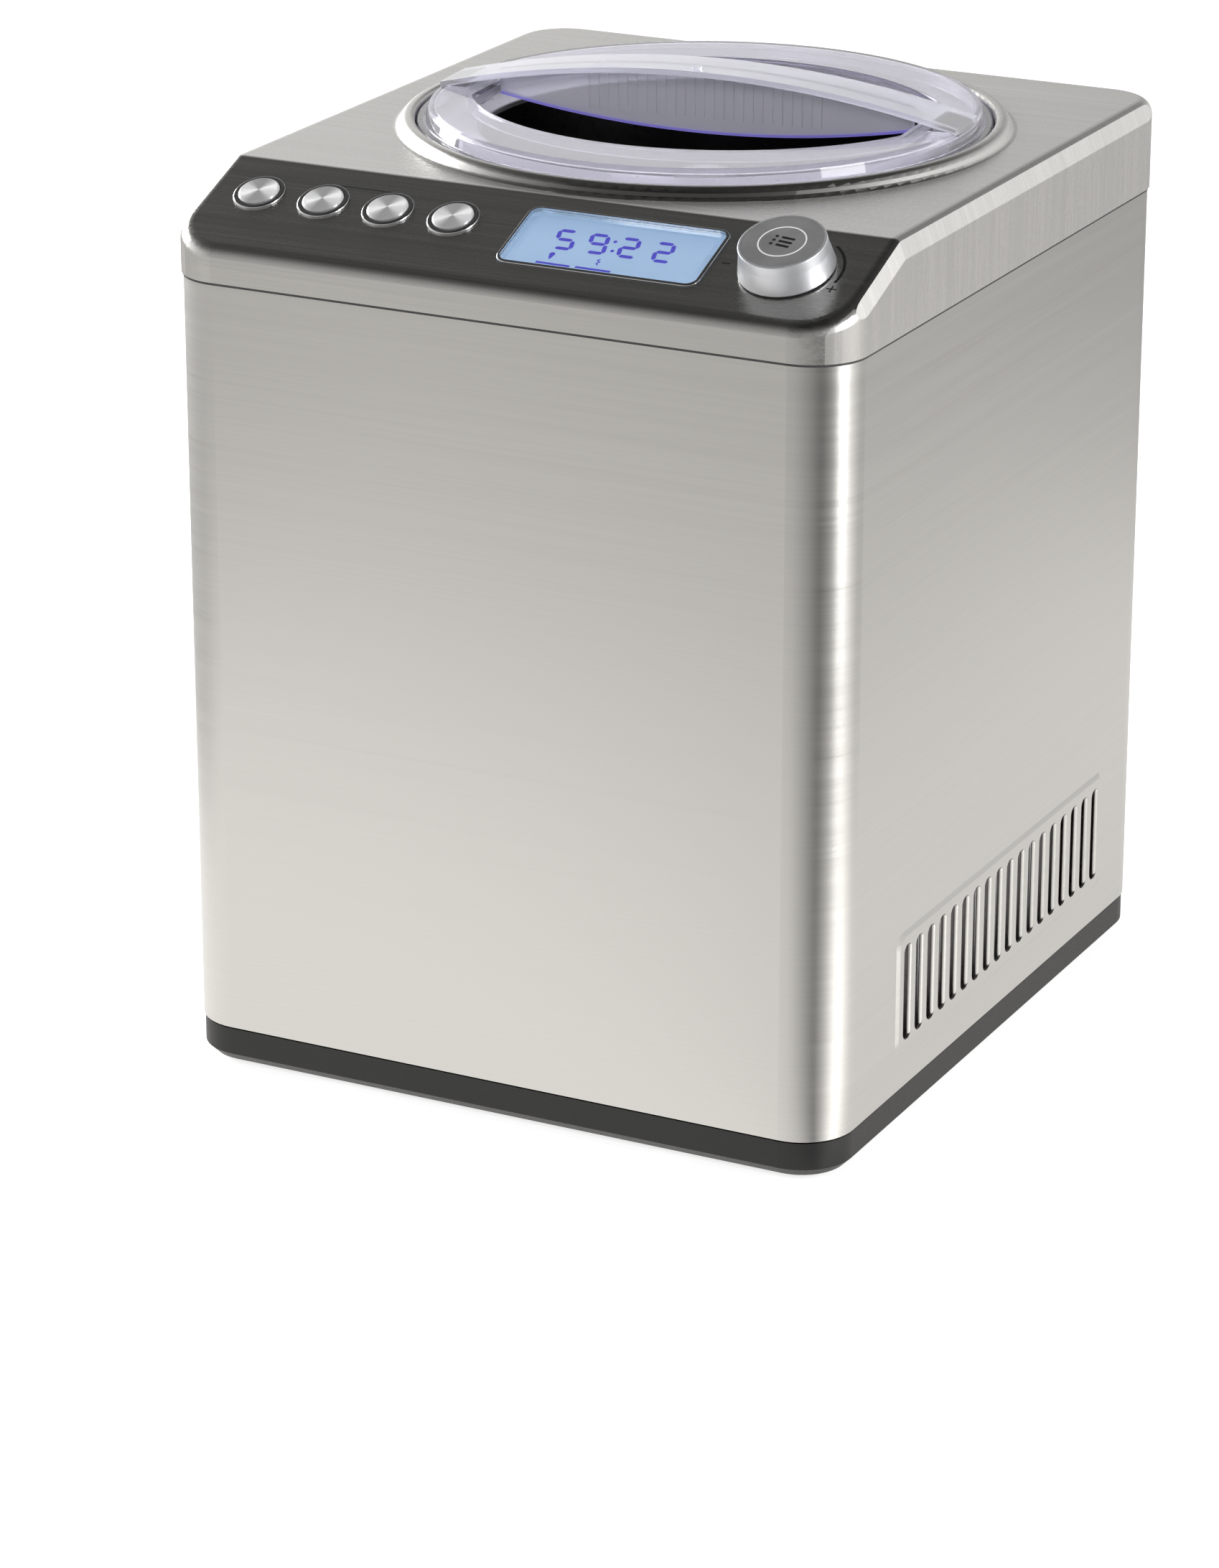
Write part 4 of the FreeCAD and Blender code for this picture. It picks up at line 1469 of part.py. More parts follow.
def make_power_board():
    wall = PLATE_THICKNESS
    bracket = box(BRACKET_X, BRACKET_X + wall, BRACKET_FRONT, BRACKET_BACK, PLATE_Z, BRACKET_TOP_Z)
    foot_x = SHELL_FLANGE + BRACKET_FOOT - SHELL_WIDTH / 2
    step_x = foot_x - BRACKET_STEP
    bracket = bracket.fuse(box(BRACKET_X, foot_x, BRACKET_FRONT, BRACKET_BACK, PLATE_Z, PLATE_Z + wall))
    lift_z = STEEL_Z + SHEET + FIT_GAP
    bracket = bracket.cut(box(BRACKET_X - wall, step_x, BRACKET_FRONT, BRACKET_BACK, PLATE_Z, lift_z))
    riser = box(step_x, step_x + wall, BRACKET_FRONT, BRACKET_BACK, PLATE_Z, lift_z + wall)
    step = box(BRACKET_X, step_x + wall, BRACKET_FRONT, BRACKET_BACK, lift_z, lift_z + wall)
    save("board_bracket", bracket.fuse([riser, step]).removeSplitter())

    board_x = BRACKET_X + wall + STANDOFF
    y0 = BRACKET_FRONT + POWER_BOARD_MARGIN
    y1 = BRACKET_BACK - POWER_BOARD_MARGIN
    z0 = PLATE_Z + POWER_BOARD_RISE
    z1 = BRACKET_TOP_Z - POWER_BOARD_MARGIN
    board = box(board_x, board_x + BOARD_THICKNESS, y0, y1, z0, z1)
    for y in (y0 + STANDOFF_INSET, y1 - STANDOFF_INSET):
        for z in (z0 + STANDOFF_INSET, z1 - STANDOFF_INSET):
            board = board.fuse(cross_rod(STANDOFF_RADIUS, BRACKET_X + wall, board_x, y, z))
    save("power_board", board.removeSplitter())
    face = board_x + BOARD_THICKNESS

    def boxed(part):
        out, along, up = part
        return box(face, face + out, y0 + along[0], y0 + along[1], z0 + up[0], z0 + up[1])

    def upright(part):
        out, radius, along, up = part
        return cross_rod(radius, face, face + out, y0 + along, z0 + up)

    save("power_board_parts", boxed(TRANSFORMER), boxed(RELAY), upright(CAPACITOR), upright(CHOKE),
         boxed(HEAT_SINK), boxed(TERMINALS))


os.makedirs("parts", exist_ok=True)
make_base()
make_shell()
make_rear()
make_top_frame()
make_cover()
make_controls()
make_lid()
make_bowl()
make_paddle()
make_drum()
make_drive()
make_compressor()
make_condenser()
make_pipes()
make_power_board()
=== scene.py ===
import json
import math

import bmesh
import bpy
from mathutils import Matrix, Vector


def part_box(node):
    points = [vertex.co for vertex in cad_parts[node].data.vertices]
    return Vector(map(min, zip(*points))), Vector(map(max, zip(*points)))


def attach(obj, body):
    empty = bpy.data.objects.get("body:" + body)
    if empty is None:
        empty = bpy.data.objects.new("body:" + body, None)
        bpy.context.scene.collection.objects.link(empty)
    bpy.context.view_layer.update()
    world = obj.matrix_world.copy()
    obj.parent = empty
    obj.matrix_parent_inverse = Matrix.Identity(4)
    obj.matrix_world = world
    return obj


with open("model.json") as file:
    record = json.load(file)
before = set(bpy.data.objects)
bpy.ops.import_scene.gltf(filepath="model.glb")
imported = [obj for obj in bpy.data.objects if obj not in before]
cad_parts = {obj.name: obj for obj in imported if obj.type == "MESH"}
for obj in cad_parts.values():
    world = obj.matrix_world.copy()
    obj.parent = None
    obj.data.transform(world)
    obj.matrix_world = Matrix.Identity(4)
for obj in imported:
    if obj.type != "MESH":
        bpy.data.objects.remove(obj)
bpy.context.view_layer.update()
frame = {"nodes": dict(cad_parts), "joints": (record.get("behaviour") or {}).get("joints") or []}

NODES = frame["nodes"]
JOINTS = {joint["name"]: joint for joint in frame["joints"]}
SCENE = bpy.context.scene
MM = 0.001
WHITE = (1.0, 1.0, 1.0)

# Places taken from the frame
LID_AXIS = Vector(JOINTS["lid_twist"]["pos_m"])
HANDLE_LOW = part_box("lid_handle")[0][2]
CASING_LOW, CASING_HIGH = (Vector(corner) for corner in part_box("top_cover"))

# The sloping panel's own frame: x to the right, y up the slope and z out of it
PANEL_TOP = Vector((0.0, -101.0, 353.0)) * MM
PANEL_NORMAL = tuple(JOINTS["knob_turn"]["axis"])
PANEL_UP = (0.0, PANEL_NORMAL[2], -PANEL_NORMAL[1])
SLOPE = math.atan2(-PANEL_NORMAL[1], PANEL_NORMAL[2])
PANEL = Matrix.Translation(PANEL_TOP) @ Matrix.Rotation(SLOPE, 4, "X")


def on_panel(name):
    """Middle of a node on the panel and the height of its face, in millimetres to the hundredth."""
    to_panel = PANEL.inverted()
    points = [to_panel @ vertex.co / MM for vertex in NODES[name].data.vertices]
    across = [point.x for point in points]
    upward = [point.y for point in points]
    middle = [round((min(values) + max(values)) / 2, 2) for values in (across, upward)]
    return Vector(middle), round(max(point.z for point in points), 2)


BUTTONS = ("power_button", "hardness_button", "speed_button", "start_button")
KNOB = on_panel("control_knob")[0]
KNOB_FACE = on_panel("knob_cap")[1]
DISPLAY, DISPLAY_FACE = on_panel("display_module")

# Surface texture that the looks share
NOISE_MIDDLE = 0.5
NOISE_SPAN = (0.3, 0.7)
TINT_SPAN = (0.35, 0.65)
SLOW_CHANGE = 60.0
BROAD_STREAK = 0.22
FINE_SHARE = 0.6
BROAD_SHARE = 0.4
STREAK_DEPTH = 0.006 * MM


class Graph:
    """Short calls that build a node tree."""

    def __init__(self, tree):
        self.tree = tree

    def put(self, node, socket, value):
        if isinstance(value, bpy.types.NodeSocket):
            self.tree.links.new(value, node.inputs[socket])
        else:
            node.inputs[socket].default_value = value

    def node(self, kind, inputs=None, **settings):
        made = self.tree.nodes.new("ShaderNode" + kind)
        for key, value in settings.items():
            setattr(made, key, value)
        for socket, value in (inputs or {}).items():
            self.put(made, socket, value)
        return made

    def place(self):
        return self.node("TexCoord").outputs["Object"]

    def math(self, operation, a, b=0.0):
        return self.node("Math", {0: a, 1: b}, operation=operation).outputs[0]

    def vector(self, operation, *inputs):
        """Vector arithmetic, where a length or a dot product is a plain number."""
        made = self.node("VectorMath", dict(enumerate(inputs)), operation=operation)
        return made.outputs["Value" if operation in ("LENGTH", "DOT_PRODUCT") else "Vector"]

    def parts(self, vector):
        return self.node("SeparateXYZ", {0: vector}).outputs

    def blend(self, share, a, b):
        """Vector a where the share is 0 and b where it is 1, which are sockets 4 and 5 of the node."""
        return self.node("Mix", {0: share, 4: a, 5: b}, data_type="VECTOR").outputs[1]

    def from_axis(self, axis):
        """Level vector from an upright axis."""
        return self.vector("MULTIPLY", self.vector("SUBTRACT", self.place(), tuple(axis)), (1.0, 1.0, 0.0))

    def ranged(self, value, low, high, start=NOISE_SPAN[0], end=NOISE_SPAN[1]):
        sockets = {"Value": value, "From Min": start, "From Max": end, "To Min": low, "To Max": high}
        return self.node("MapRange", sockets).outputs[0]

    def ramp(self, value, stops, interpolation="LINEAR"):
        made = self.node("ValToRGB", {"Fac": value})
        made.color_ramp.interpolation = interpolation
        points = made.color_ramp.elements
        while len(points) < len(stops):
            points.new(0.5)
        for point, (where, colour) in zip(points, stops):
            point.position = where
            point.color = (*colour, 1.0)
        return made.outputs["Color"]

    def noise(self, scale, detail=3.0, rough=0.55):
        """Noise with the given number of features per metre along x, y and z."""
        vector = self.vector("MULTIPLY", self.place(), (scale,) * 3 if isinstance(scale, float) else scale)
        made = self.node("TexNoise", {"Vector": vector, "Scale": 1.0, "Detail": detail, "Roughness": rough})
        return made.outputs[0]


class Look(Graph):
    """A principled material."""

    def __init__(self, name, colour, rough, **sockets):
        self.material = bpy.data.materials.new(name)
        self.material.use_nodes = True
        super().__init__(self.material.node_tree)
        self.shader = self.tree.nodes["Principled BSDF"]
        self.colour = colour
        self.rough = rough
        self.give("Base Color", (*colour, 1.0))
        self.give("Roughness", rough)
        for socket, value in sockets.items():
            self.give(socket.replace("_", " "), value)

    def give(self, socket, value):
        self.put(self.shader, socket, value)

    def tint(self, value, spread):
        low = tuple(c * (1.0 - spread) for c in self.colour)
        high = tuple(min(1.0, c * (1.0 + spread)) for c in self.colour)
        self.give("Base Color", self.ramp(value, list(zip(TINT_SPAN, (low, high)))))

    def roughen(self, value, less, more):
        self.give("Roughness", self.ranged(value, self.rough - less, self.rough + more))

    def bump(self, height, depth, strength):
        made = self.node("Bump", {"Height": height, "Distance": depth, "Strength": strength})
        self.give("Normal", made.outputs[0])

    def scaled(self, scale, factor):
        if isinstance(scale, tuple):
            return tuple(s * factor for s in scale)
        return self.vector("MULTIPLY", scale, (factor,) * 3)

    def streak(self, stretch, spread, amount=1.0):
        """Brushing: stretched noise that tints, roughens and dents; amount fades it on a smooth part."""
        fine = self.math("MULTIPLY", self.noise(stretch, detail=1.5, rough=0.5), FINE_SHARE)
        broad = self.math("MULTIPLY", self.noise(self.scaled(stretch, BROAD_STREAK), detail=1.0), BROAD_SHARE)
        swing = self.math("SUBTRACT", self.math("ADD", fine, broad), NOISE_MIDDLE)
        level = self.math("ADD", self.math("MULTIPLY", swing, amount), NOISE_MIDDLE)
        self.tint(level, spread)
        self.roughen(level, less=0.03, more=0.04)
        self.bump(level, STREAK_DEPTH, strength=0.2)

    def grained(self, grain, depth):
        """Fine surface grain that roughens and dents."""
        fine = self.noise(grain, rough=0.6)
        self.roughen(fine, less=0.06, more=0.08)
        self.bump(fine, depth, strength=0.6)

    def wear(self, *nodes):
        for name in nodes:
            slots = NODES[name].data.materials
            slots.clear()
            slots.append(self.material)


# Brushed steel of the casing and the back
STEEL = (0.70, 0.69, 0.668)
CASING_GRAIN = (9.0, 9.0, 1000.0)
UPRIGHT = (0.0, 0.0, 1.0)


def steel(name, rough, anisotropy, tangent):
    """Steel sheet whose highlight is drawn out across its brushing."""
    look = Look(name, STEEL, rough, Metallic=1.0, Anisotropic=anisotropy)
    look.give("Tangent", look.node("CombineXYZ", dict(zip("XYZ", tangent))).outputs[0])
    return look


shell = steel("shell_steel", rough=0.30, anisotropy=0.65, tangent=UPRIGHT)
shell.streak(CASING_GRAIN, spread=0.025)
shell.wear("body_shell")
rear = steel("rear_steel", rough=0.32, anisotropy=0.6, tangent=UPRIGHT)
rear.streak(CASING_GRAIN, spread=0.03)
rear.wear("rear_panel")

# Top cover: brushed from side to side, smooth on the collar, and less metallic on the flat top and the sides
COVER_GRAIN = (9.0, 1000.0, 1000.0)
SIDE_GRAIN = (9.0, 800.0, 25.0)
COLLAR_EDGE = (119.5 * MM, 122.5 * MM)
SIDE_FACING = 0.6
SIDE_HAZE = 0.15
FLAT_TOP = (0.95, 0.985)
TOP_METALLIC = 0.80
cover = steel("cover_steel", rough=0.26, anisotropy=0.7, tangent=(0.0, 1.0, 0.15))
facing = cover.parts(cover.node("NewGeometry").outputs["Normal"])
sideways = cover.math("GREATER_THAN", cover.math("ABSOLUTE", facing["X"]), SIDE_FACING)
off_collar = cover.ranged(cover.vector("LENGTH", cover.from_axis(LID_AXIS)), 0.0, 1.0, *COLLAR_EDGE)
cover.streak(cover.blend(sideways, COVER_GRAIN, SIDE_GRAIN), spread=0.035, amount=off_collar)
shine = cover.ranged(facing["Z"], 1.0, TOP_METALLIC, *FLAT_TOP)
cover.give("Metallic", cover.math("SUBTRACT", shine, cover.math("MULTIPLY", sideways, SIDE_HAZE)))
cover.wear("top_cover")


# Plastics, rubber and plain metals
def moulded(name, colour, rough, grain, depth, spread=0.08, **sockets):
    """A fine surface grain and a slow change of colour."""
    look = Look(name, colour, rough, **sockets)
    look.tint(look.noise(SLOW_CHANGE, detail=4.0), spread)
    look.grained(grain, depth)
    return look


def metal(name, colour, rough, grain, depth, spread=0.08):
    """The same texture on bare metal."""
    return moulded(name, colour, rough, grain, depth, spread, Metallic=1.0)


moulded("base_charcoal", (0.009, 0.0088, 0.009), rough=0.42, grain=1400.0, depth=0.04 * MM).wear(
    "base_tray")
moulded("black_plastic", (0.035, 0.035, 0.036), rough=0.5, grain=1500.0, depth=0.03 * MM).wear(
    "top_frame", "fan_shroud")
moulded("rubber", (0.022, 0.022, 0.023), rough=0.75, grain=900.0, depth=0.05 * MM).wear(
    "rubber_feet", "compressor_grommets", "chamber_seal", "shaft_seal")
metal("zinc_fastener", (0.62, 0.62, 0.63), rough=0.3, grain=700.0, depth=0.01 * MM).wear(
    "base_screws", "rear_screws", "housing_screws", "gearbox_screws", "compressor_bolts")
metal("zinc_sheet", (0.60, 0.62, 0.64), rough=0.38, grain=90.0, depth=0.02 * MM, spread=0.16).wear(
    "base_plate", "board_bracket", "condenser_frame")
moulded("inlet_black", (0.015, 0.015, 0.016), rough=0.28, grain=1200.0, depth=0.02 * MM).wear(
    "mains_inlet")
metal("trim_chrome", (0.80, 0.80, 0.82), rough=0.09, grain=400.0, depth=0.004 * MM, spread=0.03).wear(
    "button_rings", "display_bezel")
moulded("drum_metal", (0.74, 0.75, 0.76), rough=0.34, grain=260.0, depth=0.003 * MM, spread=0.04,
        Metallic=0.6).wear("cooling_drum", "condenser_fins")
metal("copper", (0.72, 0.40, 0.25), rough=0.28, grain=180.0, depth=0.01 * MM, spread=0.14).wear(
    "evaporator_coil", "condenser_tube", "refrigerant_pipes", "filter_drier")
moulded("foam", (0.86, 0.80, 0.58), rough=0.9, grain=500.0, depth=0.4 * MM, spread=0.10).wear(
    "foam_insulation")
moulded("white_plastic", (0.80, 0.80, 0.78), rough=0.4, grain=1200.0, depth=0.03 * MM, spread=0.03).wear(
    "drum_housing")
moulded("nylon", (0.82, 0.79, 0.70), rough=0.42, grain=1300.0, depth=0.03 * MM, spread=0.05).wear(
    "output_gear", "idler_gear")
metal("die_cast", (0.52, 0.53, 0.54), rough=0.46, grain=1100.0, depth=0.06 * MM, spread=0.10).wear(
    "gearbox_case", "gearbox_cover")
metal("shaft_steel", (0.63, 0.63, 0.64), rough=0.22, grain=900.0, depth=0.006 * MM).wear(
    "drive_shaft", "idler_pin", "motor_pinion")
metal("bronze", (0.58, 0.41, 0.20), rough=0.36, grain=1600.0, depth=0.03 * MM, spread=0.12).wear(
    "shaft_bushes")
moulded("motor_paint", (0.20, 0.21, 0.22), rough=0.42, grain=700.0, depth=0.04 * MM).wear(
    "drive_motor", "fan_motor")
moulded("compressor_enamel", (0.018, 0.018, 0.019), rough=0.25, grain=260.0, depth=0.05 * MM).wear(
    "compressor")
moulded("fan_black", (0.03, 0.03, 0.03), rough=0.45, grain=1200.0, depth=0.03 * MM).wear(
    "fan_rotor")
moulded("circuit_green", (0.03, 0.17, 0.08), rough=0.4, grain=900.0, depth=0.03 * MM, spread=0.2).wear(
    "control_board", "power_board")
moulded("electrics", (0.05, 0.05, 0.055), rough=0.42, grain=1000.0, depth=0.03 * MM, spread=0.15).wear(
    "button_switches", "rotary_encoder", "power_board_parts")
moulded("paddle_plastic", (0.62, 0.62, 0.62), rough=0.35, grain=900.0, depth=0.02 * MM, spread=0.03).wear(
    "mixing_paddle")
moulded("silicone", (0.55, 0.54, 0.60), rough=0.5, grain=800.0, depth=0.03 * MM, spread=0.05,
        Transmission_Weight=0.5).wear("lid_seal")

# Bowl: bare aluminium outside, underneath and on the flange, and painted shade inside, where the metal is
# coloured near black for the shade it lies in
INSIDE_PAINTED_SHADE = (0.042, 0.042, 0.045)
BARE = (0.84, 0.84, 0.86)
PAINTED_SHADE_EDGE = (87.0 * MM, 88.5 * MM)
OUTSIDE = (0.05, 0.07)
UNDERSIDE = -0.5
bowl = Look("bowl_metal", BARE, rough=0.32, Metallic=1.0)
bowl.grained(grain=500.0, depth=0.01 * MM)
outward = bowl.from_axis(LID_AXIS)
wall = bowl.node("TexCoord").outputs["Normal"]
flange = bowl.ranged(bowl.vector("LENGTH", outward), 0.0, 1.0, *PAINTED_SHADE_EDGE)
outside = bowl.ranged(bowl.vector("DOT_PRODUCT", outward, wall), 0.0, 1.0, *OUTSIDE)
below = bowl.math("LESS_THAN", bowl.parts(wall)["Z"], UNDERSIDE)
bare = bowl.math("MAXIMUM", flange, bowl.math("MAXIMUM", outside, below))
# Painted shade: everything inside the bowl below the flange takes the near-black colour
bowl.give("Base Color", bowl.ramp(bare, [(0.0, INSIDE_PAINTED_SHADE), (1.0, BARE)]))
bowl.wear("ice_bowl")

# Clear plastic of the lid, its handle and the display's window
CLEAR_IOR = 1.46
CLEAR_ROUGH = 0.03
RIPPLE = 140.0
VIOLET_ABSORB = (0.55, 0.50, 0.96)
LID_DENSITY = 16.0
LID_PLASTIC = (0.95, 0.94, 1.0)
LID_PASSING = 0.83
HANDLE_PLASTIC = (0.93, 0.93, 0.98)
HANDLE_PASSING = 0.60


def clear(name, colour, rough, passing, absorb, density):
    """Plastic that lets light pass and takes some of its colour away with depth."""
    look = Look(name, colour, rough, Transmission_Weight=passing, IOR=CLEAR_IOR)
    look.bump(look.noise(RIPPLE, detail=2.0), depth=0.06 * MM, strength=0.12)
    volume = look.node("VolumeAbsorption", {"Color": (*absorb, 1.0), "Density": density})
    look.put(look.tree.nodes["Material Output"], "Volume", volume.outputs[0])
    return look


clear("lid_clear", LID_PLASTIC, CLEAR_ROUGH, LID_PASSING, VIOLET_ABSORB, LID_DENSITY).wear("lid")
clear("display_glass", (0.98, 0.99, 1.0), rough=0.02, passing=1.0, absorb=(0.75, 0.86, 1.0),
      density=8.0).wear("display_window")

# Painted glow: the violet light that the handle's web gathers in a bead along its sagging lower edge is
# painted into its colour, and less light passes there
PAINTED_EDGE_GLOW = (0.34, 0.30, 0.90)
EDGE_PASSING = 0.2
LID_TURN = math.radians(5.0)
WEB_SAG_RADIUS = 444.7 * MM
WEB_ENDS = (87.0 * MM, 85.5 * MM)
BEAD = (1.6 * MM, 0.8 * MM)
SAG_CENTRE = (LID_AXIS.x, LID_AXIS.y, HANDLE_LOW + WEB_SAG_RADIUS)
ALONG_WEB = (math.cos(LID_TURN), math.sin(LID_TURN), 0.0)
handle = clear("handle_clear", HANDLE_PLASTIC, CLEAR_ROUGH, HANDLE_PASSING, VIOLET_ABSORB, LID_DENSITY)
from_centre = handle.vector("SUBTRACT", handle.place(), SAG_CENTRE)
run = handle.vector("DOT_PRODUCT", from_centre, ALONG_WEB)
rise = handle.parts(from_centre)["Z"]
squares = handle.math("ADD", handle.math("MULTIPLY", run, run), handle.math("MULTIPLY", rise, rise))
edge = handle.ranged(handle.math("SQRT", squares), 0.0, 1.0, *(WEB_SAG_RADIUS - inset for inset in BEAD))
within = handle.ranged(handle.math("ABSOLUTE", run), 0.0, 1.0, *WEB_ENDS)
# Painted glow mask: the bead along the lower edge, faded out towards the web's ends
painted_edge_glow = handle.math("MULTIPLY", edge, within)
handle.give("Base Color", handle.ramp(painted_edge_glow, [(0.0, HANDLE_PLASTIC), (1.0, PAINTED_EDGE_GLOW)]))
handle.give("Transmission Weight", handle.ranged(painted_edge_glow, HANDLE_PASSING, EDGE_PASSING, 0.0, 1.0))
handle.wear("lid_handle")

# Button caps, turned on a lathe, with a painted highlight fanning out on each
CAP_METAL = (0.95, 0.95, 0.96)
CAP_PAINTED_DARKENING = 0.5
CAP_SPAN = (0.2, 0.75)
PAINTED_FAN_TURN = math.radians(20.0)
PAINTED_FAN_SHARE = 0.85
RING_SHARE = 0.15
RINGS_PER_METRE = 5200.0
RING_DEPTH = 0.004 * MM


def spun(name, centre):
    """Turned face: rings round the centre, and a highlight that fans out from it, partly from the radial
    tangent and partly painted into the base colour as bright and darker sectors.
    """
    look = Look(name, CAP_METAL, rough=0.42, Metallic=0.5, Anisotropic=0.95)
    middle = PANEL @ Vector((centre.x * MM, centre.y * MM, 0.0))
    away = look.vector("SUBTRACT", look.place(), tuple(middle))
    around = look.vector("CROSS_PRODUCT", PANEL_NORMAL, away)
    look.give("Tangent", look.vector("CROSS_PRODUCT", PANEL_NORMAL, around))
    turns = look.math("MULTIPLY", look.vector("LENGTH", around), RINGS_PER_METRE)
    rings = look.node("TexNoise", {"W": turns, "Scale": 1.0, "Detail": 2.0}, noise_dimensions="1D").outputs[0]
    across = look.vector("DOT_PRODUCT", away, (1.0, 0.0, 0.0))
    upward = look.vector("DOT_PRODUCT", away, PANEL_UP)
    angle = look.math("SUBTRACT", look.math("ARCTAN2", upward, across), PAINTED_FAN_TURN)
    # Painted highlight: the base colour is bright in two opposite sectors round the centre and darker between
    # them
    painted_fan = look.math("POWER", look.math("ABSOLUTE", look.math("COSINE", angle)), 2.0)
    shade = look.math("ADD", look.math("MULTIPLY", painted_fan, PAINTED_FAN_SHARE), look.math("MULTIPLY", rings, RING_SHARE))
    painted_dim_metal = tuple(c * CAP_PAINTED_DARKENING for c in CAP_METAL)
    look.give("Base Color", look.ramp(shade, list(zip(CAP_SPAN, (painted_dim_metal, CAP_METAL)))))
    look.roughen(rings, less=0.05, more=0.06)
    look.bump(rings, depth=RING_DEPTH, strength=0.5)
    return look


for button in BUTTONS:
    spun(button + "_metal", on_panel(button)[0]).wear(button)

# Knob
moulded("knob_satin", (0.76, 0.77, 0.80), rough=0.36, grain=3200.0, depth=0.02 * MM, spread=0.06,
        Metallic=0.82).wear("control_knob", "encoder_shaft")
moulded("knob_dark", (0.15, 0.148, 0.15), rough=0.42, grain=3600.0, depth=0.03 * MM, spread=0.16).wear(
    "knob_cap")
ring_polish = moulded("ring_polish", (0.92, 0.92, 0.94), rough=0.3, grain=3200.0, depth=0.01 * MM,
                      spread=0.04, Metallic=0.3)

# Lit display, a little uneven
UNEVEN = (9.0, 14.0, 14.0)
BACKLIGHT = ((0.2, (0.25, 0.39, 0.60)), (0.8, (0.31, 0.46, 0.68)))
display = Look("display_lit", (0.10, 0.15, 0.22), rough=0.35, Emission_Strength=0.74)
display.give("Emission Color", display.ramp(display.noise(UNEVEN, detail=1.0), BACKLIGHT))
display.bump(display.noise(scale=2400.0), depth=0.01 * MM, strength=0.2)
display.wear("display_module")

# Inks
segment_ink = Look("segment_ink", (0.03, 0.025, 0.24), rough=0.4, Emission_Strength=0.8)
segment_ink.tint(segment_ink.noise(scale=900.0), spread=0.12)
segment_ink.give("Emission Color", (0.035, 0.025, 0.36, 1.0))
print_ink = Look("print_ink", (0.004, 0.004, 0.004), rough=0.6)
print_ink.tint(print_ink.noise(scale=1200.0), spread=0.3)
print_ink.bump(print_ink.noise(scale=4000.0), depth=0.01 * MM, strength=0.3)

# Outlines, in millimetres on the panel
MITRE_LIMIT = 0.4


def strip_outline(points, width):
    """Outline of a line of the given width through the points, with mitred corners."""
    left, right = [], []
    for i, point in enumerate(points):
        before = Vector(points[max(i - 1, 0)])
        after = Vector(points[min(i + 1, len(points) - 1)])
        here = Vector(point)
        inward = (here - before).normalized() if i else (after - here).normalized()
        onward = (after - here).normalized() if i < len(points) - 1 else inward
        along = (inward + onward).normalized()
        side = Vector((-along.y, along.x)) * (width / 2 / max(MITRE_LIMIT, along.dot(onward)))
        left.append(here + side)
        right.append(here - side)
    return left + right[::-1]


def stroke(centre, start, end, width):
    """A straight line between two points that are measured from the centre."""
    return strip_outline([centre + Vector(start), centre + Vector(end)], width)


def arc_points(centre, radius, start, end, steps):
    """Points along an arc, with both of its ends."""
    angles = [start + (end - start) * i / steps for i in range(steps + 1)]
    return [centre + radius * Vector((math.cos(angle), math.sin(angle))) for angle in angles]


def disc_outline(centre, radius, count=24):
    """A disc with this number of sides."""
    return arc_points(centre, radius, 0.0, 2 * math.pi, count)[:-1]


def printed(name, outlines, face, depths, look, body):
    """Thin plates with these outlines, sunk into a face and standing proud of it by the two depths."""
    sunk, proud = depths
    mesh = bmesh.new()
    for outline in outlines:
        base = [mesh.verts.new((p.x * MM, p.y * MM, (face - sunk) * MM)) for p in outline]
        made = bmesh.ops.extrude_face_region(mesh, geom=[mesh.faces.new(base)])
        lifted = [v for v in made["geom"] if isinstance(v, bmesh.types.BMVert)]
        bmesh.ops.translate(mesh, verts=lifted, vec=(0.0, 0.0, (sunk + proud) * MM))
    bmesh.ops.recalc_face_normals(mesh, faces=mesh.faces)
    mesh.transform(PANEL)
    data = bpy.data.meshes.new(name)
    mesh.to_mesh(data)
    mesh.free()
    piece = bpy.data.objects.new(name, data)
    SCENE.collection.objects.link(piece)
    data.materials.append(look.material)
    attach(piece, body)


# Digits of the display, with their segments lettered a to g from the top round to the middle
TIME = "5922"
LIT = {"5": "afgcd", "9": "abcdfg", "2": "abged"}
DIGIT_X = (-23.3, -10.0, 2.6, 16.6)
DIGIT_FOOT = -4.0
DIGIT_WIDTH = 8.1
DIGIT_HEIGHT = 12.1
DIGIT_LEAN = -0.22
SEGMENT = 1.7
SEGMENT_GAP = 0.22
COLON = ((-1.4, 4.6), (-0.1, -0.9))
COLON_RADIUS = 0.75
INK_DEPTHS = (0.02, 0.10)


def digit_point(x0, u, v):
    """A point of a digit, with u and v from 0 to 1 across and up it."""
    up = v * DIGIT_HEIGHT
    return DISPLAY + Vector((x0 + u * DIGIT_WIDTH + DIGIT_LEAN * up, DIGIT_FOOT + up))


def segment_outline(x0, name):
    """Six-sided bar between two corners of the digit."""
    across = SEGMENT / DIGIT_WIDTH
    upward = SEGMENT / DIGIT_HEIGHT
    low, mid, high = upward / 2, 0.5, 1.0 - upward / 2
    left, right = across / 2, 1.0 - across / 2
    ends = {"a": ((left, high), (right, high)),
            "b": ((right, mid), (right, high)),
            "c": ((right, low), (right, mid)),
            "d": ((left, low), (right, low)),
            "e": ((left, low), (left, mid)),
            "f": ((left, mid), (left, high)),
            "g": ((left, mid), (right, mid))}
    start, end = (digit_point(x0, *p) for p in ends[name])
    along = (end - start).normalized()
    side = Vector((-along.y, along.x)) * SEGMENT / 2
    start = start + along * SEGMENT_GAP
    end = end - along * SEGMENT_GAP
    tip = along * SEGMENT / 2
    return [start, start + tip - side, end - tip - side, end, end - tip + side, start + tip + side]


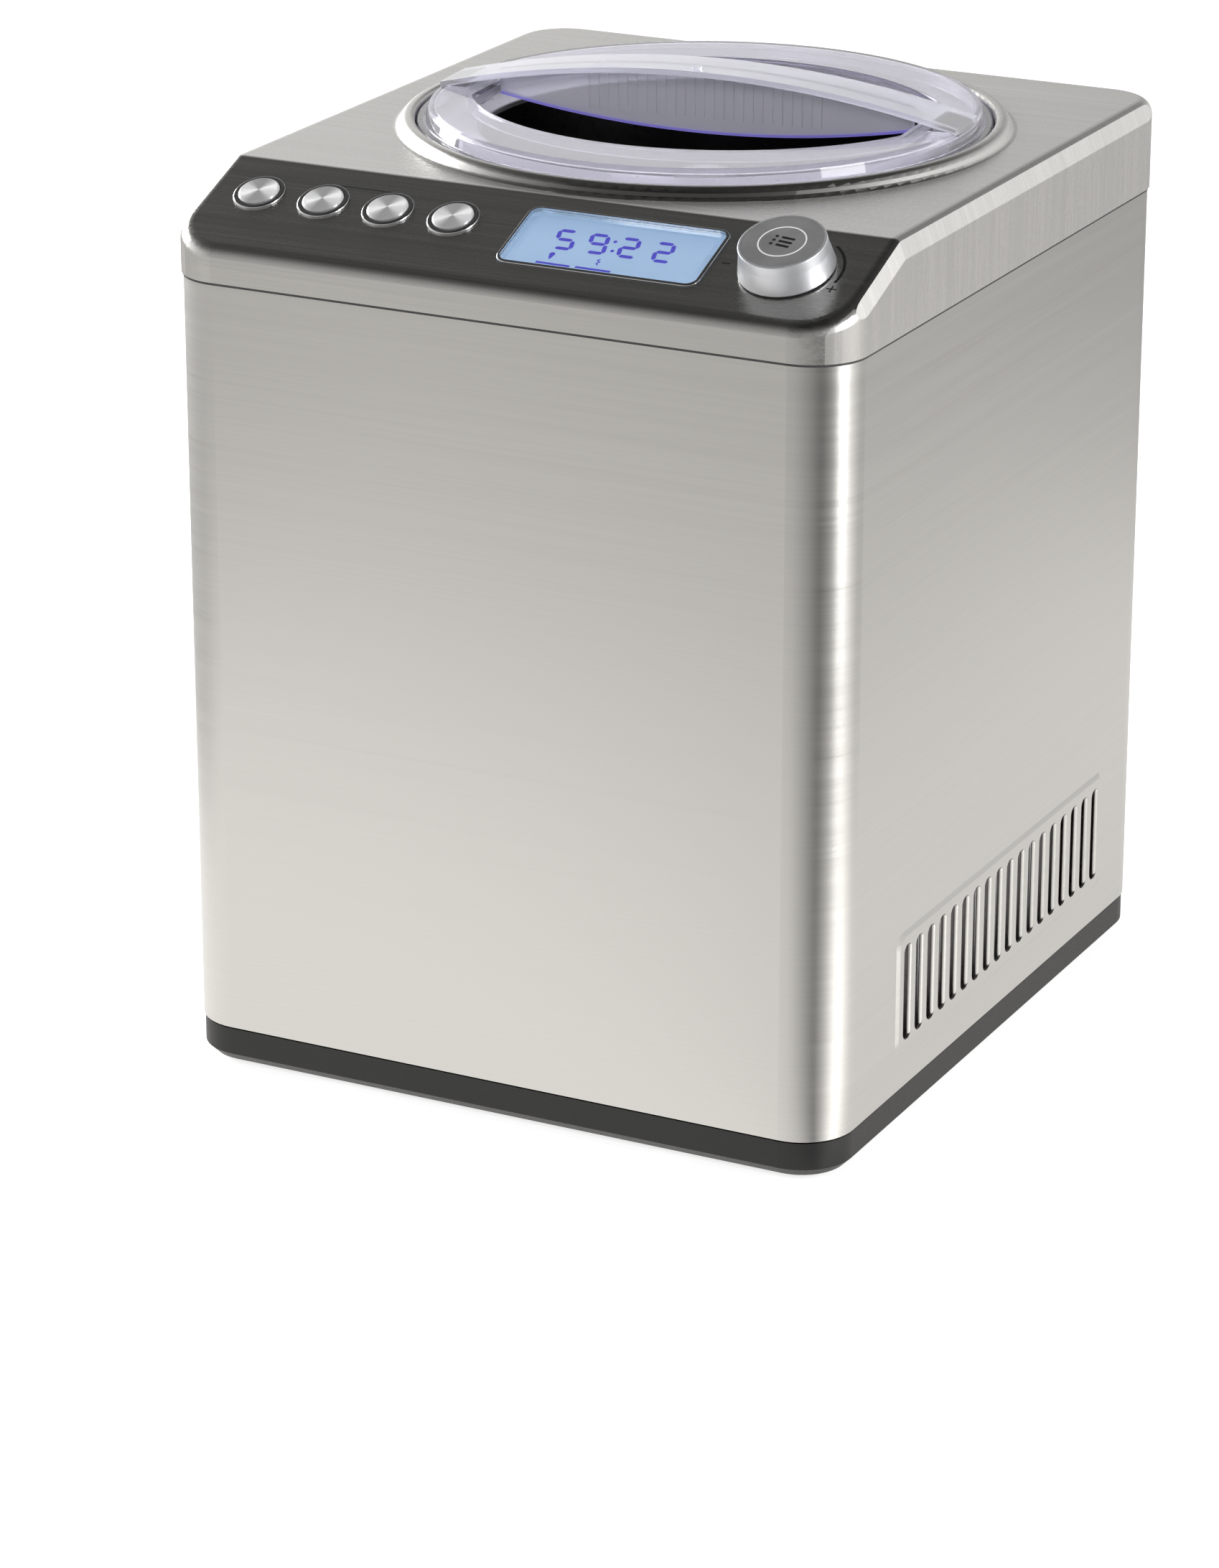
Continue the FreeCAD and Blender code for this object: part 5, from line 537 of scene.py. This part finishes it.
digits = [segment_outline(x0, name) for x0, digit in zip(DIGIT_X, TIME) for name in LIT[digit]]
digits += [disc_outline(DISPLAY + Vector(dot), COLON_RADIUS) for dot in COLON]
printed("display_digits", digits, DISPLAY_FACE, INK_DEPTHS, segment_ink, "housing")

# Bars and small icons of the display
BARS = ((-25.7, -11.8), (-9.6, 4.7))
BAR_Y = (-12.7, -12.9)
BAR_WIDTH = 1.1
CONE = ((-21.45, -10.5), (-20.6, -8.3), (-22.5, -8.3))
SCOOP = (-21.55, -7.2)
SCOOP_RADIUS = 1.15
SWIRL = ((-2.1, -6.5), (-3.0, -7.4), (-1.8, -8.2), (-2.7, -9.2), (-1.8, -10.1))
SWIRL_WIDTH = 0.5
bars = [stroke(DISPLAY, (x0, BAR_Y[0]), (x1, BAR_Y[1]), BAR_WIDTH) for x0, x1 in BARS]
printed("display_bars", bars, DISPLAY_FACE, INK_DEPTHS, segment_ink, "housing")
cone = [DISPLAY + Vector(point) for point in CONE]
scoop = disc_outline(DISPLAY + Vector(SCOOP), SCOOP_RADIUS)
swirl = strip_outline([DISPLAY + Vector(point) for point in SWIRL], SWIRL_WIDTH)
printed("display_icons", [cone, scoop, swirl], DISPLAY_FACE, INK_DEPTHS, segment_ink, "housing")

# Marks printed on the panel: the knob's arc, plus and minus, and the line over the two middle buttons
PANEL_FACE = 0.0
MARK_DEPTHS = (0.01, 0.03)
MARK_WIDTH = 0.6
ARC_RADIUS = 20.7
ARC_WIDTH = 1.1
ARC_START = math.radians(54.0)
ARC_END = math.radians(-11.0)
ARC_STEPS = 24
PLUS = Vector((125.1, -33.3))
PLUS_ARM = 1.9
PLUS_GAP = 0.31
MINUS = Vector((80.7, -26.6))
MINUS_ARM = 1.7
BRACKET = ((-85.6, -13.4), (-85.6, -10.9), (-58.6, -10.9), (-58.6, -13.4))
BRACKET_WIDTH = 0.4
marks = [strip_outline(arc_points(KNOB, ARC_RADIUS, ARC_START, ARC_END, ARC_STEPS), ARC_WIDTH),
         stroke(PLUS, (-PLUS_ARM, 0.0), (PLUS_ARM, 0.0), MARK_WIDTH),
         stroke(PLUS, (0.0, -PLUS_ARM), (0.0, -PLUS_GAP), MARK_WIDTH),
         stroke(PLUS, (0.0, PLUS_GAP), (0.0, PLUS_ARM), MARK_WIDTH),
         stroke(MINUS, (-MINUS_ARM, 0.0), (MINUS_ARM, 0.0), MARK_WIDTH),
         strip_outline([Vector(point) for point in BRACKET], BRACKET_WIDTH)]
printed("panel_marks", marks, PANEL_FACE, MARK_DEPTHS, print_ink, "housing")

# Bright ring and list icon on the knob's face
KNOB_RING_RADIUS = 8.75
KNOB_RING_WIDTH = 0.55
KNOB_RING_DEPTHS = (0.2, 0.02)
KNOB_RING_STEPS = 72
ICON_TURN = Matrix.Rotation(math.radians(-7.0), 2)
ICON_ROWS = (-2.3, 0.0, 2.3)
ICON_LINE = (-1.4, 4.0)
ICON_LINE_WIDTH = 1.2
ICON_DOT = -3.4
ICON_DOT_RADIUS = 0.7
ICON_DOT_SIDES = 16
ring_path = arc_points(KNOB, KNOB_RING_RADIUS, 0.0, 2 * math.pi, KNOB_RING_STEPS)
ring = strip_outline(ring_path, KNOB_RING_WIDTH)
printed("knob_ring", [ring], KNOB_FACE, KNOB_RING_DEPTHS, ring_polish, "knob")
list_icon = []
for row in ICON_ROWS:
    start, end, dot = (KNOB + ICON_TURN @ Vector((x, row)) for x in (*ICON_LINE, ICON_DOT))
    list_icon.append(strip_outline([start, end], ICON_LINE_WIDTH))
    list_icon.append(disc_outline(dot, ICON_DOT_RADIUS, ICON_DOT_SIDES))
printed("knob_icon", list_icon, KNOB_FACE, MARK_DEPTHS, print_ink, "knob")


def shades(stops, tint):
    """Ramp stops of one tint from pairs of a place and a level."""
    return [(where, tuple(level * c for c in tint)) for where, level in stops]


# White floor, with lighter and darker pools that show only in the steel and through the clear plastic
FLOOR_SIZE = 12.0
PAPER = (0.86, 0.86, 0.86, 1.0)
FAR_FLOOR = (0.6, 2.0)
FLOOR_LIFT = (0.74, 1.0)
SIDE_STRETCH = (1.97, 1.0, 0.0)
GLOW = ((0.0, 0.80), (0.19, 0.85), (0.42, 0.88), (0.62, 0.64), (0.90, 0.46), (1.0, 0.43))
GLOW_TINT = (1.0, 0.985, 0.955)
POOLS = ((0.0, 0.60), (0.097, 0.60), (0.175, 0.50), (0.236, 0.44), (0.381, 0.12), (0.461, 0.40),
         (0.553, 0.98), (0.625, 0.52), (0.675, 0.45), (0.75, 0.45), (0.83, 0.48), (1.0, 0.60))
POOL_STRENGTH = 2.2
CASING_HALF = (CASING_HIGH.x, CASING_HIGH.y, 0.0)
FRONT_CORNER = (CASING_HIGH.x, CASING_LOW.y, 0.0)


def floor_material():
    """Paper that is white to the camera and has pools of light in reflections."""
    material = bpy.data.materials.new("floor_paper")
    material.use_nodes = True
    paper = Graph(material.node_tree)
    beside = paper.vector("SUBTRACT", paper.vector("ABSOLUTE", paper.place()), CASING_HALF)
    beside = paper.parts(paper.vector("MULTIPLY", beside, SIDE_STRETCH))
    distance = paper.math("MAXIMUM", beside["X"], beside["Y"])
    lift = paper.ranged(distance, *FLOOR_LIFT, *FAR_FLOOR)
    diffuse = paper.node("BsdfDiffuse", {"Color": PAPER})
    lifted = paper.node("Emission", {"Color": (*WHITE, 1.0), "Strength": lift})
    seen = paper.node("AddShader", {0: diffuse.outputs[0], 1: lifted.outputs[0]})
    from_corner = paper.parts(paper.vector("SUBTRACT", paper.place(), FRONT_CORNER))
    angle = paper.math("ARCTAN2", from_corner["Y"], from_corner["X"])
    sector = paper.ranged(angle, 0.0, 1.0, -math.pi, math.pi)
    pools = paper.math("MULTIPLY", paper.ramp(sector, shades(POOLS, WHITE)), POOL_STRENGTH)
    glow = paper.ramp(distance, shades(GLOW, GLOW_TINT))
    mirrored = paper.node("Emission", {"Color": glow, "Strength": pools})
    path = paper.node("LightPath").outputs
    reflected = paper.math("MAXIMUM", path["Is Glossy Ray"], path["Is Transmission Ray"])
    mixed = paper.node("MixShader", {0: reflected, 1: seen.outputs[0], 2: mirrored.outputs[0]})
    shown = paper.node("MixShader", {0: path["Is Camera Ray"], 1: mixed.outputs[0], 2: seen.outputs[0]})
    paper.put(paper.tree.nodes["Material Output"], "Surface", shown.outputs[0])
    return material


half = FLOOR_SIZE / 2
floor_mesh = bpy.data.meshes.new("floor")
floor_corners = [(-half, -half, 0), (half, -half, 0), (half, half, 0), (-half, half, 0)]
floor_mesh.from_pydata(floor_corners, [], [(0, 1, 2, 3)])
floor_mesh.materials.append(floor_material())
floor = bpy.data.objects.new("floor", floor_mesh)
SCENE.collection.objects.link(floor)

# Studio round the machine: light near the floor, dark overhead, and uneven round about
SKY = ((0.0, 0.78), (0.20, 0.74), (0.38, 0.54), (0.58, 0.15), (0.78, 0.04), (1.0, 0.03))
ROUND = ((0.0, 0.80), (0.10, 0.45), (0.20, 0.18), (0.32, 0.18), (0.42, 0.25), (0.50, 0.70),
         (0.58, 0.72), (0.68, 0.52), (0.79, 0.42), (0.835, 0.63), (0.90, 0.70), (1.0, 0.80))
SKY_TINT = (1.0, 0.995, 0.985)
STUDIO_STRENGTH = 2.0
PALE_STRENGTH = 0.9
world = bpy.data.worlds.new("studio")
SCENE.world = world
world.use_nodes = True
studio = Graph(world.node_tree)
direction = studio.parts(studio.node("TexCoord").outputs["Generated"])
bearing = studio.math("ARCTAN2", direction["Y"], direction["X"])
heading = studio.math("ADD", studio.math("DIVIDE", bearing, 2 * math.pi), 0.5)
sky_colour = studio.ramp(direction["Z"], shades(SKY, SKY_TINT), "EASE")
round_level = studio.ramp(heading, shades(ROUND, SKY_TINT), "EASE")
background = studio.tree.nodes["Background"]
studio.put(background, "Color", sky_colour)
studio.put(background, "Strength", studio.math("MULTIPLY", round_level, STUDIO_STRENGTH))

# What is seen through clear plastic is pale all round, as the photograph's white backdrop is
pale = studio.node("Background", {"Color": (*WHITE, 1.0), "Strength": PALE_STRENGTH})
through = studio.node("LightPath").outputs["Is Transmission Ray"]
backdrop = studio.node("MixShader", {0: through, 1: background.outputs[0], 2: pale.outputs[0]})
studio.put(studio.tree.nodes["World Output"], "Surface", backdrop.outputs[0])


def softbox(name, place, target, width, height, power, mirrored=True):
    """Area light that the camera does not see; mirrored says whether metal shows it."""
    lamp = bpy.data.lights.new(name, "AREA")
    lamp.shape = "RECTANGLE"
    lamp.size = width
    lamp.size_y = height
    lamp.energy = power
    holder = bpy.data.objects.new(name, lamp)
    SCENE.collection.objects.link(holder)
    holder.location = place
    holder.rotation_mode = "QUATERNION"
    holder.rotation_quaternion = (Vector(target) - Vector(place)).to_track_quat("-Z", "Y")
    holder.visible_camera = False
    holder.visible_glossy = mirrored


# Lights, aimed at the upper part of the machine
HIGH_AIM = (0.0, 0.0, 0.3)
LOW_AIM = (0.0, 0.0, 0.25)
softbox("left", (-1.5, 0.45, 0.75), HIGH_AIM, width=0.8, height=0.8, power=16.0)
softbox("right", (1.5, -0.15, 0.55), LOW_AIM, width=0.5, height=0.8, power=12.0)
softbox("overhead", (0.0, -0.2, 1.9), HIGH_AIM, width=1.2, height=1.2, power=15.0, mirrored=False)
softbox("front", (-0.4, -1.9, 1.3), HIGH_AIM, width=1.0, height=1.0, power=18.0, mirrored=False)

# Camera, fitted to the casing's edges in the photograph
IMAGE = (1698, 2184)
FOCAL_PIXELS = 7578.8
SENSOR = 36.0
CLIP_END = 100.0
CAMERA_PLACE = Vector((901.5, -1828.1, 852.6)) * MM
YAW = math.radians(27.004)
PITCH = math.radians(20.559)
camera_data = bpy.data.cameras.new("camera")
camera_data.sensor_width = SENSOR
camera_data.lens = FOCAL_PIXELS / max(IMAGE) * SENSOR
camera_data.clip_end = CLIP_END
camera = bpy.data.objects.new("camera", camera_data)
SCENE.collection.objects.link(camera)
camera.location = CAMERA_PLACE
ahead = Vector((-math.sin(YAW) * math.cos(PITCH), math.cos(YAW) * math.cos(PITCH), -math.sin(PITCH)))
camera.rotation_mode = "QUATERNION"
camera.rotation_quaternion = ahead.to_track_quat("-Z", "Y")
SCENE.camera = camera
SCENE.view_settings.view_transform = "Standard"
